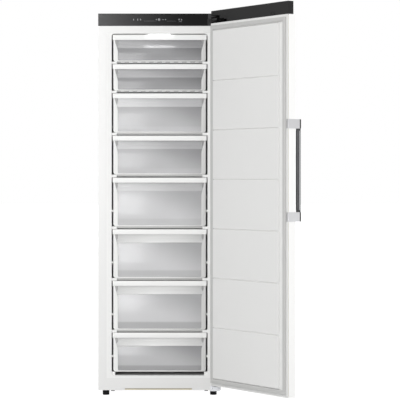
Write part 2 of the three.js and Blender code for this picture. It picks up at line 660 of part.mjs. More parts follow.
function fanMotor() {
  const { width, height, thickness } = MOTOR_PLATE;
  return shaped({
    join: [
      plug(0, [FAN_BACK + MOTOR_CLEARANCE, DUCT_BACK], FAN_Z, MOTOR_RADIUS),
      plug(0, [FAN_MIDDLE + SEAT_GAP, DUCT_BACK - SINK], FAN_Z, MOTOR_SHAFT_RADIUS),
      block([-width / 2, width / 2], [DUCT_BACK - thickness, DUCT_BACK],
        [FAN_Z - height / 2, FAN_Z + height / 2]),
    ],
  });
}

// ---------------------------------------------------------------- machine room
const COMPRESSOR_X = HALF_WIDTH - COMPRESSOR_FROM_SIDE;
const COMPRESSOR_Y = CABINET_DEPTH - COMPRESSOR_FROM_BACK;
const COMPRESSOR_BOTTOM = BASE_TOP + SEAT_GAP;
const COMPRESSOR_TOP = MACHINE_ROOM_TOP - COMPRESSOR_HEADROOM;

// A turned can: each point of its outline is [in from the radius, up from the foot] in the
// lower half and [in from the radius, down from the top] in the upper half.
function compressor() {
  const [x, y, radius] = [COMPRESSOR_X, COMPRESSOR_Y, COMPRESSOR_RADIUS];
  const lower = [[radius, 14], [30, 14], [8, 22], [0, 44]];
  const upper = [[0, 52], [10, 24], [30, 8], [radius, 0]];
  const profile = [
    ...lower.map(([inward, up]) => new THREE.Vector2(radius - inward, COMPRESSOR_BOTTOM + up)),
    ...upper.map(([inward, down]) => new THREE.Vector2(radius - inward, COMPRESSOR_TOP - down)),
  ];
  const can = new THREE.LatheGeometry(profile, 28);
  can.rotateX(Math.PI / 2).translate(x, y, 0);
  const foot = COMPRESSOR_FOOT;
  const box = TERMINAL_BOX;
  return shaped({ join: [
    can,
    block([x - foot.width / 2, x + foot.width / 2], [y - foot.depth / 2, y + foot.depth / 2],
      [COMPRESSOR_BOTTOM, COMPRESSOR_BOTTOM + foot.height]),
    block([x - radius - box.reach, x - radius / 2], [y - box.width / 2, y + box.width / 2],
      [COMPRESSOR_BOTTOM + box.lift, COMPRESSOR_BOTTOM + box.lift + box.height]),
  ] });
}

function dripTray() {
  const [halfX, halfY] = [TRAY_SIZE / 2, TRAY_DEPTH / 2];
  const low = COMPRESSOR_TOP + SEAT_GAP;
  const tray = (inset, z0, z1) => block(
    [COMPRESSOR_X - halfX + inset, COMPRESSOR_X + halfX - inset],
    [COMPRESSOR_Y - halfY + inset, COMPRESSOR_Y + halfY - inset], [z0, z1]);
  return shaped({
    join: [tray(0, low, low + TRAY_HEIGHT)],
    cut: [tray(TRAY_WALL, low + TRAY_WALL, low + TRAY_HEIGHT + CUT_PAST)],
  });
}

function condenser() {
  const left = -HALF_WIDTH + CONDENSER.fromSide;
  return finnedBlock([left, left + CONDENSER.width],
    [MACHINE_ROOM_FRONT + CONDENSER.margin, CABINET_DEPTH - CONDENSER.margin],
    [BASE_TOP + SEAT_GAP, BASE_TOP + SEAT_GAP + CONDENSER.height], CONDENSER.pitch,
    CONDENSER.groove);
}

function filterDrier() {
  return post(DRIER.x, CABINET_DEPTH - DRIER.fromBack,
    [BASE_TOP + SEAT_GAP, BASE_TOP + SEAT_GAP + DRIER.height], DRIER.radius);
}

function machineBase() {
  const half = HALF_WIDTH - STEEL_SHEET;
  const near = ROLLER_WIDTH / 2 + ROLLER_SIDE_GAP;
  const far = near + EAR_THICKNESS;
  const ears = both((side) => both((end) => {
    const centre = side * ROLLER_X;
    const [inner, outer] = sideways(end, near, far);
    return block([centre + inner, centre + outer],
      [ROLLER_Y - EAR_DEPTH / 2, ROLLER_Y + EAR_DEPTH / 2],
      [ROLLER_RADIUS - EAR_DROP, BASE_TOP - SINK]);
  })).flat();
  const axles = both((side) => bar([side * ROLLER_X - far, side * ROLLER_X + far],
    ROLLER_Y, ROLLER_RADIUS, AXLE_RADIUS));
  const well = ROLLER_RADIUS + ROLLER_WELL;
  return shaped({
    join: [
      block([-half, half], [MACHINE_ROOM_FRONT, CABINET_DEPTH], [BASE_TOP - BASE_SHEET, BASE_TOP]),
      ...ears, ...axles,
    ],
    cut: both((side) => block([side * ROLLER_X - near, side * ROLLER_X + near],
      [ROLLER_Y - well, ROLLER_Y + well],
      [ROLLER_RADIUS + AXLE_RADIUS + SINK, BASE_TOP + CUT_PAST])),
  });
}

function roller(side) {
  const half = ROLLER_WIDTH / 2;
  return shaped({
    join: [bar([side * ROLLER_X - half, side * ROLLER_X + half], ROLLER_Y, ROLLER_RADIUS,
      ROLLER_RADIUS, 32)],
    cut: [bar([side * ROLLER_X - half - CUT_PAST, side * ROLLER_X + half + CUT_PAST], ROLLER_Y,
      ROLLER_RADIUS, AXLE_RADIUS + AXLE_CLEARANCE)],
  });
}

function frontFoot(side) {
  return shaped({
    join: [
      post(side * FOOT_X, FOOT_Y, [0, CABINET_BOTTOM - SEAT_GAP], FOOT_RADIUS),
      post(side * FOOT_X, FOOT_Y, [CABINET_BOTTOM - 2 * SINK, CABINET_BOTTOM + STUD_LENGTH],
        STUD_RADIUS),
    ],
  });
}

function powerInlet() {
  const right = HALF_WIDTH - INLET.fromSide + INLET.size;
  const [x0, x1] = [right - INLET.size, right];
  const [z0, z1] = [BASE_TOP + SEAT_GAP, BASE_TOP + SEAT_GAP + INLET.size];
  const front = CABINET_DEPTH - INLET.depth;
  return shaped({
    join: [block([x0, x1], [front, CABINET_DEPTH], [z0, z1])],
    cut: [block([x0 + INLET.wall, x1 - INLET.wall], [front + INLET.back, CABINET_DEPTH + CUT_PAST],
      [z0 + INLET.sill, z1 - INLET.wall])],
  });
}

// ---------------------------------------------------------------- drawers
// Both pieces are drawn with X = 0 in the middle, Y as in the cabinet and Z = 0 at the
// front's lower edge.
function drawerFrame(height) {
  const rail = outline([
    [DRAWER_FRONT_Y, height - RAIL_HEIGHT], [DRAWER_FRONT_Y + RAIL_THICKNESS, height - RAIL_HEIGHT],
    [DRAWER_FRONT_Y + RAIL_THICKNESS, height - RAIL_THICKNESS],
    [RECESS_WALL_Y - SEAT_GAP, height - RAIL_THICKNESS], [RECESS_WALL_Y - SEAT_GAP, height],
    [DRAWER_FRONT_Y, height],
  ]);
  const slantEnd = height - RAIL_HEIGHT - POST_SLANT_HEIGHT;
  const wide = HALF_DRAWER - POST_WIDTH_TOP;
  const narrow = HALF_DRAWER - POST_WIDTH;
  const corner = HALF_DRAWER - FRAME_CORNER;
  const ring = new THREE.Shape();
  ring.moveTo(-HALF_DRAWER, height - SINK);
  ring.lineTo(-HALF_DRAWER, FRAME_CORNER);
  ring.absarc(-corner, FRAME_CORNER, FRAME_CORNER, Math.PI, 1.5 * Math.PI);
  ring.absarc(corner, FRAME_CORNER, FRAME_CORNER, 1.5 * Math.PI, 2 * Math.PI);
  ring.lineTo(HALF_DRAWER, height - SINK);
  ring.holes.push(outline([
    [-narrow, BOTTOM_BAR_HEIGHT], [-narrow, slantEnd], [-wide, height - RAIL_HEIGHT],
    [-wide, height - RAIL_THICKNESS], [wide, height - RAIL_THICKNESS],
    [wide, height - RAIL_HEIGHT], [narrow, slantEnd], [narrow, BOTTOM_BAR_HEIGHT],
  ]));
  return shaped({ join: [
    pushAcross(rail, [-HALF_DRAWER, HALF_DRAWER]),
    pushBack(ring, [POST_FRONT_Y - SINK, POST_BACK_Y]),
  ] });
}

function drawerTub(height, backY) {
  const frontY = POST_BACK_Y + SEAT_GAP;
  const lip = height - RAIL_HEIGHT - RECESS_HEIGHT;
  const ledgeTop = lip + LEDGE_RISE;
  const top = height - TUB_BELOW_FRONT_TOP;
  const sideOutside = HALF_DRAWER - TUB_SIDE_GAP;
  const side = outline([[frontY, 0], [backY, 0], [backY, top], [RECESS_WALL_Y, top],
    [RECESS_WALL_Y, ledgeTop], [frontY, lip]]);
  const hollow = outline([[frontY + TUB_WALL, TUB_FLOOR], [backY - TUB_WALL, TUB_FLOOR],
    [backY - TUB_WALL, top + CUT_PAST], [RECESS_WALL_Y + TUB_WALL, top + CUT_PAST],
    [RECESS_WALL_Y + TUB_WALL, ledgeTop - TUB_WALL / 2], [frontY + TUB_WALL, lip - TUB_WALL / 2]]);
  return shaped({
    join: [pushAcross(side, [-sideOutside, sideOutside])],
    cut: [pushAcross(hollow, [-sideOutside + TUB_WALL, sideOutside - TUB_WALL])],
  });
}

function drawer(number, { top, bottom }, parent) {
  const group = new THREE.Group();
  group.position.z = bottom;
  parent.add(group);
  const height = top - bottom;
  const last = number === LEVELS.length;
  const backY = last ? SHORT_DRAWER_BACK_Y : DRAWER_BACK_Y;
  part(`drawer_${number}_frame`, drawerFrame(height), whitePlastic, group);
  part(`drawer_${number}_tub`, drawerTub(height, backY), clearPlastic, group);
}

// ---------------------------------------------------------------- door, drawn closed
function bushHole(z0, z1, grow) {
  return post(HINGE_X, HINGE_Y, [z0, z1], BUSH_RADIUS + grow);
}
const TOP_BUSH = [TRIM_BOTTOM - BUSH_LENGTH, TRIM_BOTTOM];
const BOTTOM_BUSH = [BOTTOM_HINGE_TOP + SEAT_GAP, DOOR_BOTTOM + BUSH_LENGTH];

function doorPanel() {
  const inside = HALF_WIDTH - STEEL_SHEET;
  return shaped({
    join: [block([-HALF_WIDTH, HALF_WIDTH], [DOOR_OUTER_Y, PAN_INNER_Y], [PAN_BOTTOM, TRIM_BOTTOM])],
    cut: [
      block([-inside, inside], [DOOR_OUTER_Y + STEEL_SHEET, CUT_PAST],
        [PAN_BOTTOM + STEEL_SHEET, TRIM_BOTTOM - STEEL_SHEET]),
      bushHole(PAN_BOTTOM - CUT_PAST, PAN_BOTTOM + CUT_PAST, SEAT_GAP),
      bushHole(TRIM_BOTTOM - CUT_PAST, TRIM_BOTTOM + CUT_PAST, SEAT_GAP),
    ],
  });
}

function doorFoam() {
  const half = HALF_WIDTH - STEEL_SHEET - SEAT_GAP;
  const low = PAN_BOTTOM + STEEL_SHEET + SEAT_GAP;
  const high = TRIM_BOTTOM - STEEL_SHEET - SEAT_GAP;
  return shaped({
    join: [block([-half, half],
      [DOOR_OUTER_Y + STEEL_SHEET + SEAT_GAP, PAN_INNER_Y - SEAT_GAP], [low, high])],
    cut: [
      bushHole(low - CUT_PAST, BOTTOM_BUSH[1] + SEAT_GAP, SEAT_GAP),
      bushHole(TOP_BUSH[0] - SEAT_GAP, high + CUT_PAST, SEAT_GAP),
    ],
  });
}

// The inner sheet with its raised, bevelled tile, crossed by grooves.
function doorLiner() {
  const sheetBack = DOOR_INNER_Y - DOOR_LINER_SHEET + SEAT_GAP;
  const half = HALF_WIDTH - DOOR_LINER_INSET;
  const [free, hinged] = [-HALF_WIDTH + TILE_MARGIN.free, HALF_WIDTH - TILE_MARGIN.hinge];
  const tileBottom = PAN_BOTTOM + TILE_MARGIN.bottom;
  const grooves = [];
  for (let i = 0; i < GROOVE_COUNT; i += 1) {
    const z = tileBottom + GROOVE_ABOVE_TILE + i * GROOVE_SPACING;
    grooves.push(block([free - CUT_PAST, hinged + CUT_PAST],
      [DOOR_INNER_Y + TILE_HEIGHT - GROOVE_DEPTH, 0], [z - GROOVE_WIDTH / 2, z + GROOVE_WIDTH / 2]));
  }
  return shaped({
    join: [
      block([-half, half], [sheetBack, DOOR_INNER_Y],
        [PAN_BOTTOM + DOOR_LINER_INSET, TRIM_BOTTOM - DOOR_LINER_INSET]),
      bevelled([free, hinged], [DOOR_INNER_Y - 1, DOOR_INNER_Y + TILE_HEIGHT],
        [tileBottom, TRIM_BOTTOM - TILE_MARGIN.top], TILE_BEVEL),
    ],
    cut: grooves,
  });
}

// The seal is a ring that stands on a narrower foot.
function doorGasket() {
  const [x0, x1] = [-HALF_WIDTH + GASKET_MARGIN.free, HALF_WIDTH - GASKET_MARGIN.hinge];
  const [z0, z1] = [PAN_BOTTOM + GASKET_MARGIN.bottom, TRIM_BOTTOM - GASKET_MARGIN.top];
  const y0 = DOOR_INNER_Y + SEAT_GAP;
  const foot = y0 + GASKET_HEIGHT / 3;
  const ring = (inset, y) => {
    const inside = GASKET_WIDTH - inset;
    const shape = roundedRect([x0 + inset, x1 - inset], [z0 + inset, z1 - inset],
      GASKET_CORNER);
    shape.holes.push(roundedRect([x0 + inside, x1 - inside], [z0 + inside, z1 - inside],
      GASKET_INNER_CORNER));
    return pushBack(shape, y, 2);
  };
  return shaped({ join: [
    ring(0, [foot, DOOR_INNER_Y + GASKET_HEIGHT]),
    ring(GASKET_FOOT_INSET, [y0, foot + SINK]),
  ] });
}

// A hollow strip with a notch for the hinge's arm and two small ones for the closer.
function doorTopTrim() {
  const y0 = DOOR_INNER_Y - DOOR_TRIM_DEPTH;
  const z0 = TRIM_BOTTOM + SEAT_GAP;
  const notchLeft = HALF_WIDTH - TRIM_NOTCH_WIDTH;
  const notchTop = DOOR_TOP - TRIM_NOTCH_BELOW_TOP;
  const insideY = [y0 + DOOR_TRIM_WALL, DOOR_INNER_Y - DOOR_TRIM_WALL];
  const insideTop = DOOR_TOP - DOOR_TRIM_WALL;
  const { length, height, depth, besideHinge, farther } = CLOSER_NOTCH;
  const closer = (x0, x1) => block([x0, x1], [DOOR_INNER_Y - depth, CUT_PAST], [0, z0 + height]);
  return shaped({
    join: [block([-HALF_WIDTH, HALF_WIDTH], [y0, DOOR_INNER_Y], [z0, DOOR_TOP])],
    cut: [
      block([-HALF_WIDTH + DOOR_TRIM_WALL, notchLeft - DOOR_TRIM_WALL], insideY, [0, insideTop]),
      block([notchLeft - 2 * DOOR_TRIM_WALL, HALF_WIDTH - DOOR_TRIM_WALL], insideY,
        [notchTop + DOOR_TRIM_WALL, insideTop]),
      block([notchLeft, HALF_WIDTH + CUT_PAST], [y0 - CUT_PAST, CUT_PAST], [0, notchTop]),
      closer(notchLeft - besideHinge, notchLeft + SINK),
      closer(notchLeft - besideHinge - farther, notchLeft - besideHinge - farther + length),
    ],
  });
}

function doorBottomCap() {
  return shaped({
    join: [block([-HALF_WIDTH, HALF_WIDTH], [DOOR_OUTER_Y, DOOR_INNER_Y],
      [DOOR_BOTTOM, PAN_BOTTOM - SEAT_GAP])],
    cut: [bushHole(0, PAN_BOTTOM + CUT_PAST, SEAT_GAP)],
  });
}

function hingeBush([z0, z1]) {
  return shaped({
    join: [post(HINGE_X, HINGE_Y, [z0, z1], BUSH_RADIUS)],
    cut: [post(HINGE_X, HINGE_Y, [z0 - CUT_PAST, z1 + CUT_PAST], BUSH_BORE)],
  });
}

const GRIP_X = -HALF_WIDTH + GRIP_INSET;
const GRIP_Y = DOOR_INNER_Y - GRIP_STANDOFF;
const HANDLE_TOP = HANDLE_BOTTOM + HANDLE_LENGTH;

// A bent plate: a lip on the door's inner face, a long leg over the free end and a curl
// round the end of the grip.
function handleBracket(z) {
  const near = -HALF_WIDTH - SEAT_GAP;
  const far = near - BRACKET_SHEET;
  const lipBack = DOOR_INNER_Y + SEAT_GAP;
  const curl = GRIP_RADIUS + BRACKET_CURL;
  const shape = new THREE.Shape();
  shape.moveTo(near + BRACKET_LIP, lipBack);
  shape.lineTo(near + BRACKET_LIP, lipBack + BRACKET_LIP_SHEET);
  shape.lineTo(far, lipBack + BRACKET_LIP_SHEET);
  shape.lineTo(far, DOOR_INNER_Y - BRACKET_LEG);
  shape.absarc(GRIP_X, GRIP_Y, curl, BRACKET_CURL_START, 2 * Math.PI);
  shape.lineTo(GRIP_X + curl, DOOR_OUTER_Y - BRACKET_THROAT);
  shape.lineTo(near, DOOR_OUTER_Y - BRACKET_HEEL);
  shape.lineTo(near, lipBack);
  return pushUp(shape, z, 8);
}

function handleBar() {
  return post(GRIP_X, GRIP_Y, [HANDLE_BOTTOM + BRACKET_HEIGHT + SEAT_GAP,
    HANDLE_TOP - BRACKET_HEIGHT - SEAT_GAP], GRIP_RADIUS);
}

// ---------------------------------------------------------------- assembly
const freezer = new THREE.Group();

const cabinet = new THREE.Group();
freezer.add(cabinet);
part('cabinet_shell', cabinetShell(), whitePaint, cabinet);
part('inner_liner', innerLiner(), whitePlastic, cabinet);
part('cabinet_foam', cabinetFoam(), foamYellow, cabinet);
part('back_panel', block([-HALF_WIDTH, HALF_WIDTH],
  [CABINET_DEPTH, CABINET_DEPTH + BACK_SHEET], [MACHINE_ROOM_TOP, SIDE_TOP]), whitePaint, cabinet);
part('top_cover', topCover(), whitePlastic, cabinet);
const hingeZoneLeft = HALF_WIDTH - HINGE_ZONE_WIDTH;
part('control_panel', frontBox(-HALF_WIDTH, hingeZoneLeft), blackGloss, cabinet);
part('hinge_cover', frontBox(hingeZoneLeft, HALF_WIDTH), blackPlastic, cabinet);
part('control_board', block([BOARD_LEFT, BOARD_LEFT + BOARD_WIDTH],
  [PANEL_WALL, PANEL_WALL + BOARD_THICKNESS],
  [PANEL_BOTTOM + PANEL_WALL + BOARD_MARGIN, CABINET_TOP - PANEL_WALL - BOARD_MARGIN]),
boardGreen, cabinet);
part('led_lamp', lampBlock(-SEAT_GAP, [OPENING_TOP - LAMP_BELOW, OPENING_TOP + LAMP_HEIGHT]),
  lampLens, cabinet);
part('top_hinge', topHinge(), blackEnamel, cabinet);
part('bottom_hinge', bottomHinge(), zincSteel, cabinet);
const halfShelf = HALF_OPENING - SHELF_SIDE_GAP;
SHELF_LEVELS.forEach((z, i) => {
  const shelf = block([-halfShelf, halfShelf], [SHELF_FRONT_Y, SHELF_BACK_Y],
    [z, z + SHELF_THICKNESS]);
  part(`glass_shelf_${i + 1}`, shelf, shelfGlass, cabinet);
});

part('air_duct_cover', airDuctCover(), whitePlastic, cabinet);
part('evaporator', evaporator(), finAluminium, cabinet);
part('fan_motor', fanMotor(), blackPlastic, cabinet);
part('evaporator_fan', fanRotor(), whitePlastic, cabinet);

part('machine_base', machineBase(), zincSteel, cabinet);
part('compressor', compressor(), blackEnamel, cabinet);
part('drip_tray', dripTray(), blackPlastic, cabinet);
part('condenser', condenser(), blackEnamel, cabinet);
part('filter_drier', filterDrier(), zincSteel, cabinet);
part('power_inlet', powerInlet(), blackPlastic, cabinet);

for (const [side, word] of [[-1, 'left'], [1, 'right']]) {
  part(`front_foot_${word}`, frontFoot(side), rollerPlastic, cabinet);
  part(`rear_roller_${word}`, roller(side), rollerPlastic, cabinet);
}

const drawers = new THREE.Group();
freezer.add(drawers);
LEVELS.forEach((level, i) => drawer(i + 1, level, drawers));

// The door hangs on its hinge axis and stands open, as in the photograph.
const hinge = new THREE.Group();
hinge.position.set(HINGE_X, HINGE_Y, 0);
hinge.rotation.z = THREE.MathUtils.degToRad(DOOR_OPEN_ANGLE);
freezer.add(hinge);
const door = new THREE.Group();
door.position.set(-HINGE_X, -HINGE_Y, 0);
hinge.add(door);
part('door_panel', doorPanel(), whitePaint, door);
part('door_foam', doorFoam(), foamYellow, door);
part('door_liner', doorLiner(), whitePlastic, door);
part('door_gasket', doorGasket(), gasketRubber, door);
part('door_top_trim', doorTopTrim(), blackPlastic, door);
part('door_bottom_cap', doorBottomCap(), whitePlastic, door);
part('hinge_bush_top', hingeBush(TOP_BUSH), bushPlastic, door);
part('hinge_bush_bottom', hingeBush(BOTTOM_BUSH), bushPlastic, door);
part('handle_bracket_top', handleBracket([HANDLE_TOP - BRACKET_HEIGHT, HANDLE_TOP]), zincSteel, door);
part('handle_bracket_bottom', handleBracket([HANDLE_BOTTOM, HANDLE_BOTTOM + BRACKET_HEIGHT]),
  zincSteel, door);
part('handle_bar', handleBar(), handleMetal, door);

// The origin goes to the middle of the footprint, on the floor.
freezer.updateMatrixWorld(true);
const extent = new THREE.Box3().setFromObject(freezer, true);
freezer.position.set(
  -(extent.min.x + extent.max.x) / 2,
  -(extent.min.y + extent.max.y) / 2,
  -extent.min.z,
);

export default freezer;
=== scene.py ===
"""Finishes and detail pieces for an upright freezer with eight drawers and an open door."""

import json
import math

import bmesh
import bpy
from mathutils import Matrix, Vector


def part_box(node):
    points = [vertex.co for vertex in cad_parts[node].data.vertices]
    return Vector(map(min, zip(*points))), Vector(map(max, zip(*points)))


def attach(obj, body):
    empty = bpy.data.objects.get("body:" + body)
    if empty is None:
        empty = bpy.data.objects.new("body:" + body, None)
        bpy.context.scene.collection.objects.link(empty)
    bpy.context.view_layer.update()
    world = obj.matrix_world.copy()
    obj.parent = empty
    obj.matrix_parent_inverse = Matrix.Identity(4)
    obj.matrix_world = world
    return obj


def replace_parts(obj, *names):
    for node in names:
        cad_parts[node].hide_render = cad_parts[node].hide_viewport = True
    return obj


bl_info = {
    "name": "Upright freezer",
    "version": (1, 0, 0),
    "blender": (4, 5, 0),
    "location": "View3D > Sidebar > Freezer",
    "description": "Finishes and detail pieces for an upright freezer with eight drawers",
    "category": "Object",
}

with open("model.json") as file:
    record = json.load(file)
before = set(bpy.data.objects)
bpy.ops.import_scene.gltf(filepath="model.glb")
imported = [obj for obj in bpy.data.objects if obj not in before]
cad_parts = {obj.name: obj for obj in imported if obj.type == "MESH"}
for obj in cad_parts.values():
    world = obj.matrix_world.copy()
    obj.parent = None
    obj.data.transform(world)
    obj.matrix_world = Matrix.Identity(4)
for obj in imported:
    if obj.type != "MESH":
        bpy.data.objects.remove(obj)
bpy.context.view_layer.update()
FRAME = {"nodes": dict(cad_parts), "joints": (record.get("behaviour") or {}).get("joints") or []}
NODES = FRAME["nodes"]
MM = 0.001
DRAWER_COUNT = 8
SHELF_COUNT = 7
WHITE = (1, 1, 1, 1)

# Pieces are drawn in millimetres: X from the cabinet's middle, Y from its front, Z from
# the floor. The cabinet's place and the door's place put them into the frame.
SHELL_LOW, SHELL_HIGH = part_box("cabinet_shell")
CABINET = Matrix.Translation(
    ((SHELL_LOW.x + SHELL_HIGH.x) / 2, SHELL_LOW.y, 0)
) @ Matrix.Diagonal((MM, MM, MM, 1))
HINGE = next(joint for joint in FRAME["joints"] if joint["name"] == "door_hinge")
PIVOT = Matrix.Translation(HINGE["pos_m"])
OPENED = Matrix.Rotation(-math.radians(HINGE["range_deg"][0]), 4, "Z")
DOOR = PIVOT @ OPENED @ PIVOT.inverted() @ CABINET


def local_box(node, place=CABINET):
    """Lowest and highest corner of a CAD node, in the millimetres that pieces are drawn in."""
    back = place.inverted()
    points = [back @ vertex.co for vertex in NODES[node].data.vertices]
    low = Vector([min(point[axis] for point in points) for axis in range(3)])
    high = Vector([max(point[axis] for point in points) for axis in range(3)])
    return low, high


# ---------------------------------------------------------------- settings
def colour_setting(name, description, default):
    return bpy.props.FloatVectorProperty(
        name=name, description=description, default=default, size=3, min=0, max=1,
        subtype="COLOR",
    )


def length_setting(name, description, default):
    return bpy.props.FloatProperty(
        name=name, description=description, default=default, min=0, unit="LENGTH"
    )


def power_setting(name, description, default):
    return bpy.props.FloatProperty(
        name=name, description=description, default=default, min=0, unit="POWER"
    )


class FreezerColours(bpy.types.PropertyGroup):
    """Colours of the finishes."""

    enamel: colour_setting("Enamel", "Painted steel of cabinet and door", (0.83, 0.83, 0.82))
    plastic: colour_setting("White plastic", "Liner, drawer posts, covers", (0.89, 0.89, 0.88))
    rail: colour_setting("Grip rails", "Glossy white drawer rails", (0.95, 0.95, 0.94))
    inner_sheet: colour_setting("Door sheet", "Sheet inside the door", (0.86, 0.86, 0.85))
    # the bins' colours hold painted shade: darker towards the upper right, where the open door
    # shades the drawers, and darker still in the shallow top drawers
    bin: colour_setting("Drawer bins", "Frosted clear plastic", (0.96, 0.96, 0.97))
    bin_shade: colour_setting("Bin shade", "The same where it is dullest", (0.68, 0.68, 0.69))
    top_bin: colour_setting("Shallow bins", "Bins of the top drawers", (0.55, 0.55, 0.56))
    top_bin_shade: colour_setting("Shallow bin shade", "Their dullest tone", (0.33, 0.33, 0.34))
    glass: colour_setting("Shelf glass", "Glass of the shelves", (0.80, 0.90, 0.87))
    panel: colour_setting("Control strip", "Black glossy strip", (0.004, 0.004, 0.004))
    # the lighter end of the strip is a painted reflection of a lamp, faded into the black
    sheen: colour_setting("Strip painted reflection", "Lighter end of the strip", (0.095, 0.095, 0.096))
    black: colour_setting("Black plastic", "Door strip, hinge and tray", (0.011, 0.011, 0.011))
    seal: colour_setting("Seal", "Soft magnetic seal", (0.60, 0.60, 0.59))
    zinc: colour_setting("Zinc", "Hinge, base plate and screws", (0.56, 0.57, 0.59))
    bracket: colour_setting("Handle brackets", "Satin metal", (0.62, 0.62, 0.63))
    # the grip's dark colour is a painted reflection of dark surroundings, and the strip along it a
    # painted highlight
    grip: colour_setting("Handle grip", "Dark metal, painted reflection", (0.056, 0.056, 0.058))
    strip: colour_setting("Handle strip", "Painted highlight along the grip", (0.62, 0.63, 0.64))


class FreezerEdges(bpy.types.PropertyGroup):
    """Sizes of the rounded edges and of the drawer bins."""

    sheet: length_setting("Sheet edge", "Rounding of folded steel", 0.8 * MM)
    moulded: length_setting("Moulded edge", "Rounding of plastic edges", 1.0 * MM)
    metal: length_setting("Metal edge", "Rounding of hinges and brackets", 0.6 * MM)
    bin_corner: length_setting("Bin corner", "Radius of the bins' upright corners", 14 * MM)
    bin_wall: length_setting("Bin wall", "Wall thickness of the bins", 2.2 * MM)
    rail_round: length_setting("Rail rounding", "Rounding of the grip rail's top", 4.5 * MM)
    tile_edge: length_setting("Tile edge", "Width of the door tile's soft edge", 2.4 * MM)


class FreezerStudio(bpy.types.PropertyGroup):
    """Light and camera."""

    ambient: bpy.props.FloatProperty(
        name="Ambient", description="Even light from all round", default=0.64, min=0, max=3
    )
    key_power: power_setting("Key light", "Power of the large front lamp", 170)
    lamp_power: power_setting("Cabinet lamp", "Power of the lamp in the ceiling", 0.04)
    rail_power: power_setting("Light on the top rail", "The lamp's share on the rail", 0.008)
    ledge_power: power_setting("Light on the top ledge", "Its share behind the rail", 0.012)
    side_power: power_setting("Side light", "Power of the lamp at the door's edge", 138)
    floor: colour_setting("Floor", "Plain pale floor", (0.4, 0.4, 0.4))
    distance: length_setting("Camera distance", "From the cabinet's front", 8.2)
    aside: length_setting("Camera aside", "To the right of the cabinet's middle", 0.196)
    height: length_setting("Camera height", "Above the floor", 1.05)


def colours():
    return bpy.context.scene.freezer_colours


def edges():
    return bpy.context.scene.freezer_edges


# ---------------------------------------------------------------- mesh helpers
def steps_between(start, end, count):
    return [start + (end - start) * i / count for i in range(count + 1)]


def soft_step(value, start, end):
    """Nought before the start, one after the end, and a smooth rise between them."""
    share = min(1, max(0, (value - start) / (end - start)))
    return share * share * (3 - 2 * share)


def arc(middle, radius, first, last, steps):
    """Points round a middle, from the first angle to the last one, in degrees."""
    turns = [math.radians(turn) for turn in steps_between(first, last, steps)]
    return [(middle[0] + radius * math.cos(turn), middle[1] + radius * math.sin(turn))
            for turn in turns]


def round_box(x, y, radius, steps=5):
    """Points of a rectangle with rounded corners, between two X and two Y values."""
    corners = [(x[1] - radius, y[0] + radius, -90), (x[1] - radius, y[1] - radius, 0),
               (x[0] + radius, y[1] - radius, 90), (x[0] + radius, y[0] + radius, 180)]
    points = []
    for across, along, start in corners:
        points += arc((across, along), radius, start, start + 90, steps)
    return points


def round_edges(shape, sharp, width, segments=2):
    bmesh.ops.bevel(shape, geom=sharp, offset=width, segments=segments, profile=0.5,
                    affect="EDGES", clamp_overlap=True)


def add_block(shape, low, high, edge=0.0, segments=2, place=None):
    """A block between two corners, with rounded edges."""
    middle = (Vector(low) + Vector(high)) / 2
    size = Vector(high) - Vector(low)
    matrix = Matrix.Translation(middle) @ Matrix.Diagonal((*size, 1))
    if place:
        matrix = place @ matrix
    made = bmesh.ops.create_cube(shape, size=1, matrix=matrix)["verts"]
    if edge > 0:
        sharp = list({line for vertex in made for line in vertex.link_edges})
        round_edges(shape, sharp, edge, segments)


def loft(shape, rings, caps=(False, False), closed=True, joined=False):
    """Skins rings that have as many points each. Caps close the first and the last ring."""
    rows = [[shape.verts.new(point) for point in ring] for ring in rings]
    if joined:
        rows.append(rows[0])
    count = len(rings[0])
    for low, high in zip(rows, rows[1:]):
        for i in range(count if closed else count - 1):
            j = (i + 1) % count
            shape.faces.new((low[i], low[j], high[j], high[i]))
    if caps[0]:
        shape.faces.new(rows[0][::-1])
    if caps[1]:
        shape.faces.new(rows[-1])


def add_turned(shape, outline, place=None, steps=32):
    """Turns an outline of (radius, height) points round Z. A radius of nought closes it."""
    place = place or Matrix.Identity(4)
    turns = [2 * math.pi * i / steps for i in range(steps)]
    rows = []
    for radius, height in outline:
        spots = [(radius * math.cos(a), radius * math.sin(a), height) for a in turns]
        if radius == 0:
            spots = [(0, 0, height)]
        rows.append([shape.verts.new(place @ Vector(spot)) for spot in spots])
    for low, high in zip(rows, rows[1:]):
        for i in range(steps):
            j = (i + 1) % steps
            corners = [low[i % len(low)], low[j % len(low)],
                       high[j % len(high)], high[i % len(high)]]
            face = [corner for n, corner in enumerate(corners) if corner not in corners[:n]]
            if len(face) > 2:
                shape.faces.new(face)


def add_plate(shape, outline, depth, holes=(), place=None):
    """A flat plate: an outline in X and Z with holes in it, pushed along Y over the depth."""
    place = place or Matrix.Identity(4)
    lines = []
    for loop in (outline, *holes):
        points = [shape.verts.new(place @ Vector((x, depth[0], z))) for x, z in loop]
        lines += [shape.edges.new((points[i - 1], points[i])) for i in range(len(points))]
    if holes:
        filled = bmesh.ops.triangle_fill(shape, use_beauty=True, edges=lines)["geom"]
        faces = [item for item in filled if isinstance(item, bmesh.types.BMFace)]
    else:
        faces = [shape.faces.new([line.verts[1] for line in lines])]
    pushed = bmesh.ops.extrude_face_region(shape, geom=faces)["geom"]
    points = [item for item in pushed if isinstance(item, bmesh.types.BMVert)]
    move = place.to_3x3() @ Vector((0, depth[1] - depth[0], 0))
    bmesh.ops.translate(shape, vec=move, verts=points)


def add_relief(shape, columns, rows, height):
    """A sheet over X columns and Z rows, whose Y at each point comes from the height."""
    grid = [[shape.verts.new((x, height(x, z), z)) for x in columns] for z in rows]
    for low, high in zip(grid, grid[1:]):
        for i in range(len(columns) - 1):
            shape.faces.new((low[i], low[i + 1], high[i + 1], high[i]))


def facing(point, direction):
    """A place whose Z axis looks along the direction."""
    turn = Vector(direction).to_track_quat("Z", "Y").to_matrix().to_4x4()
    return Matrix.Translation(point) @ turn


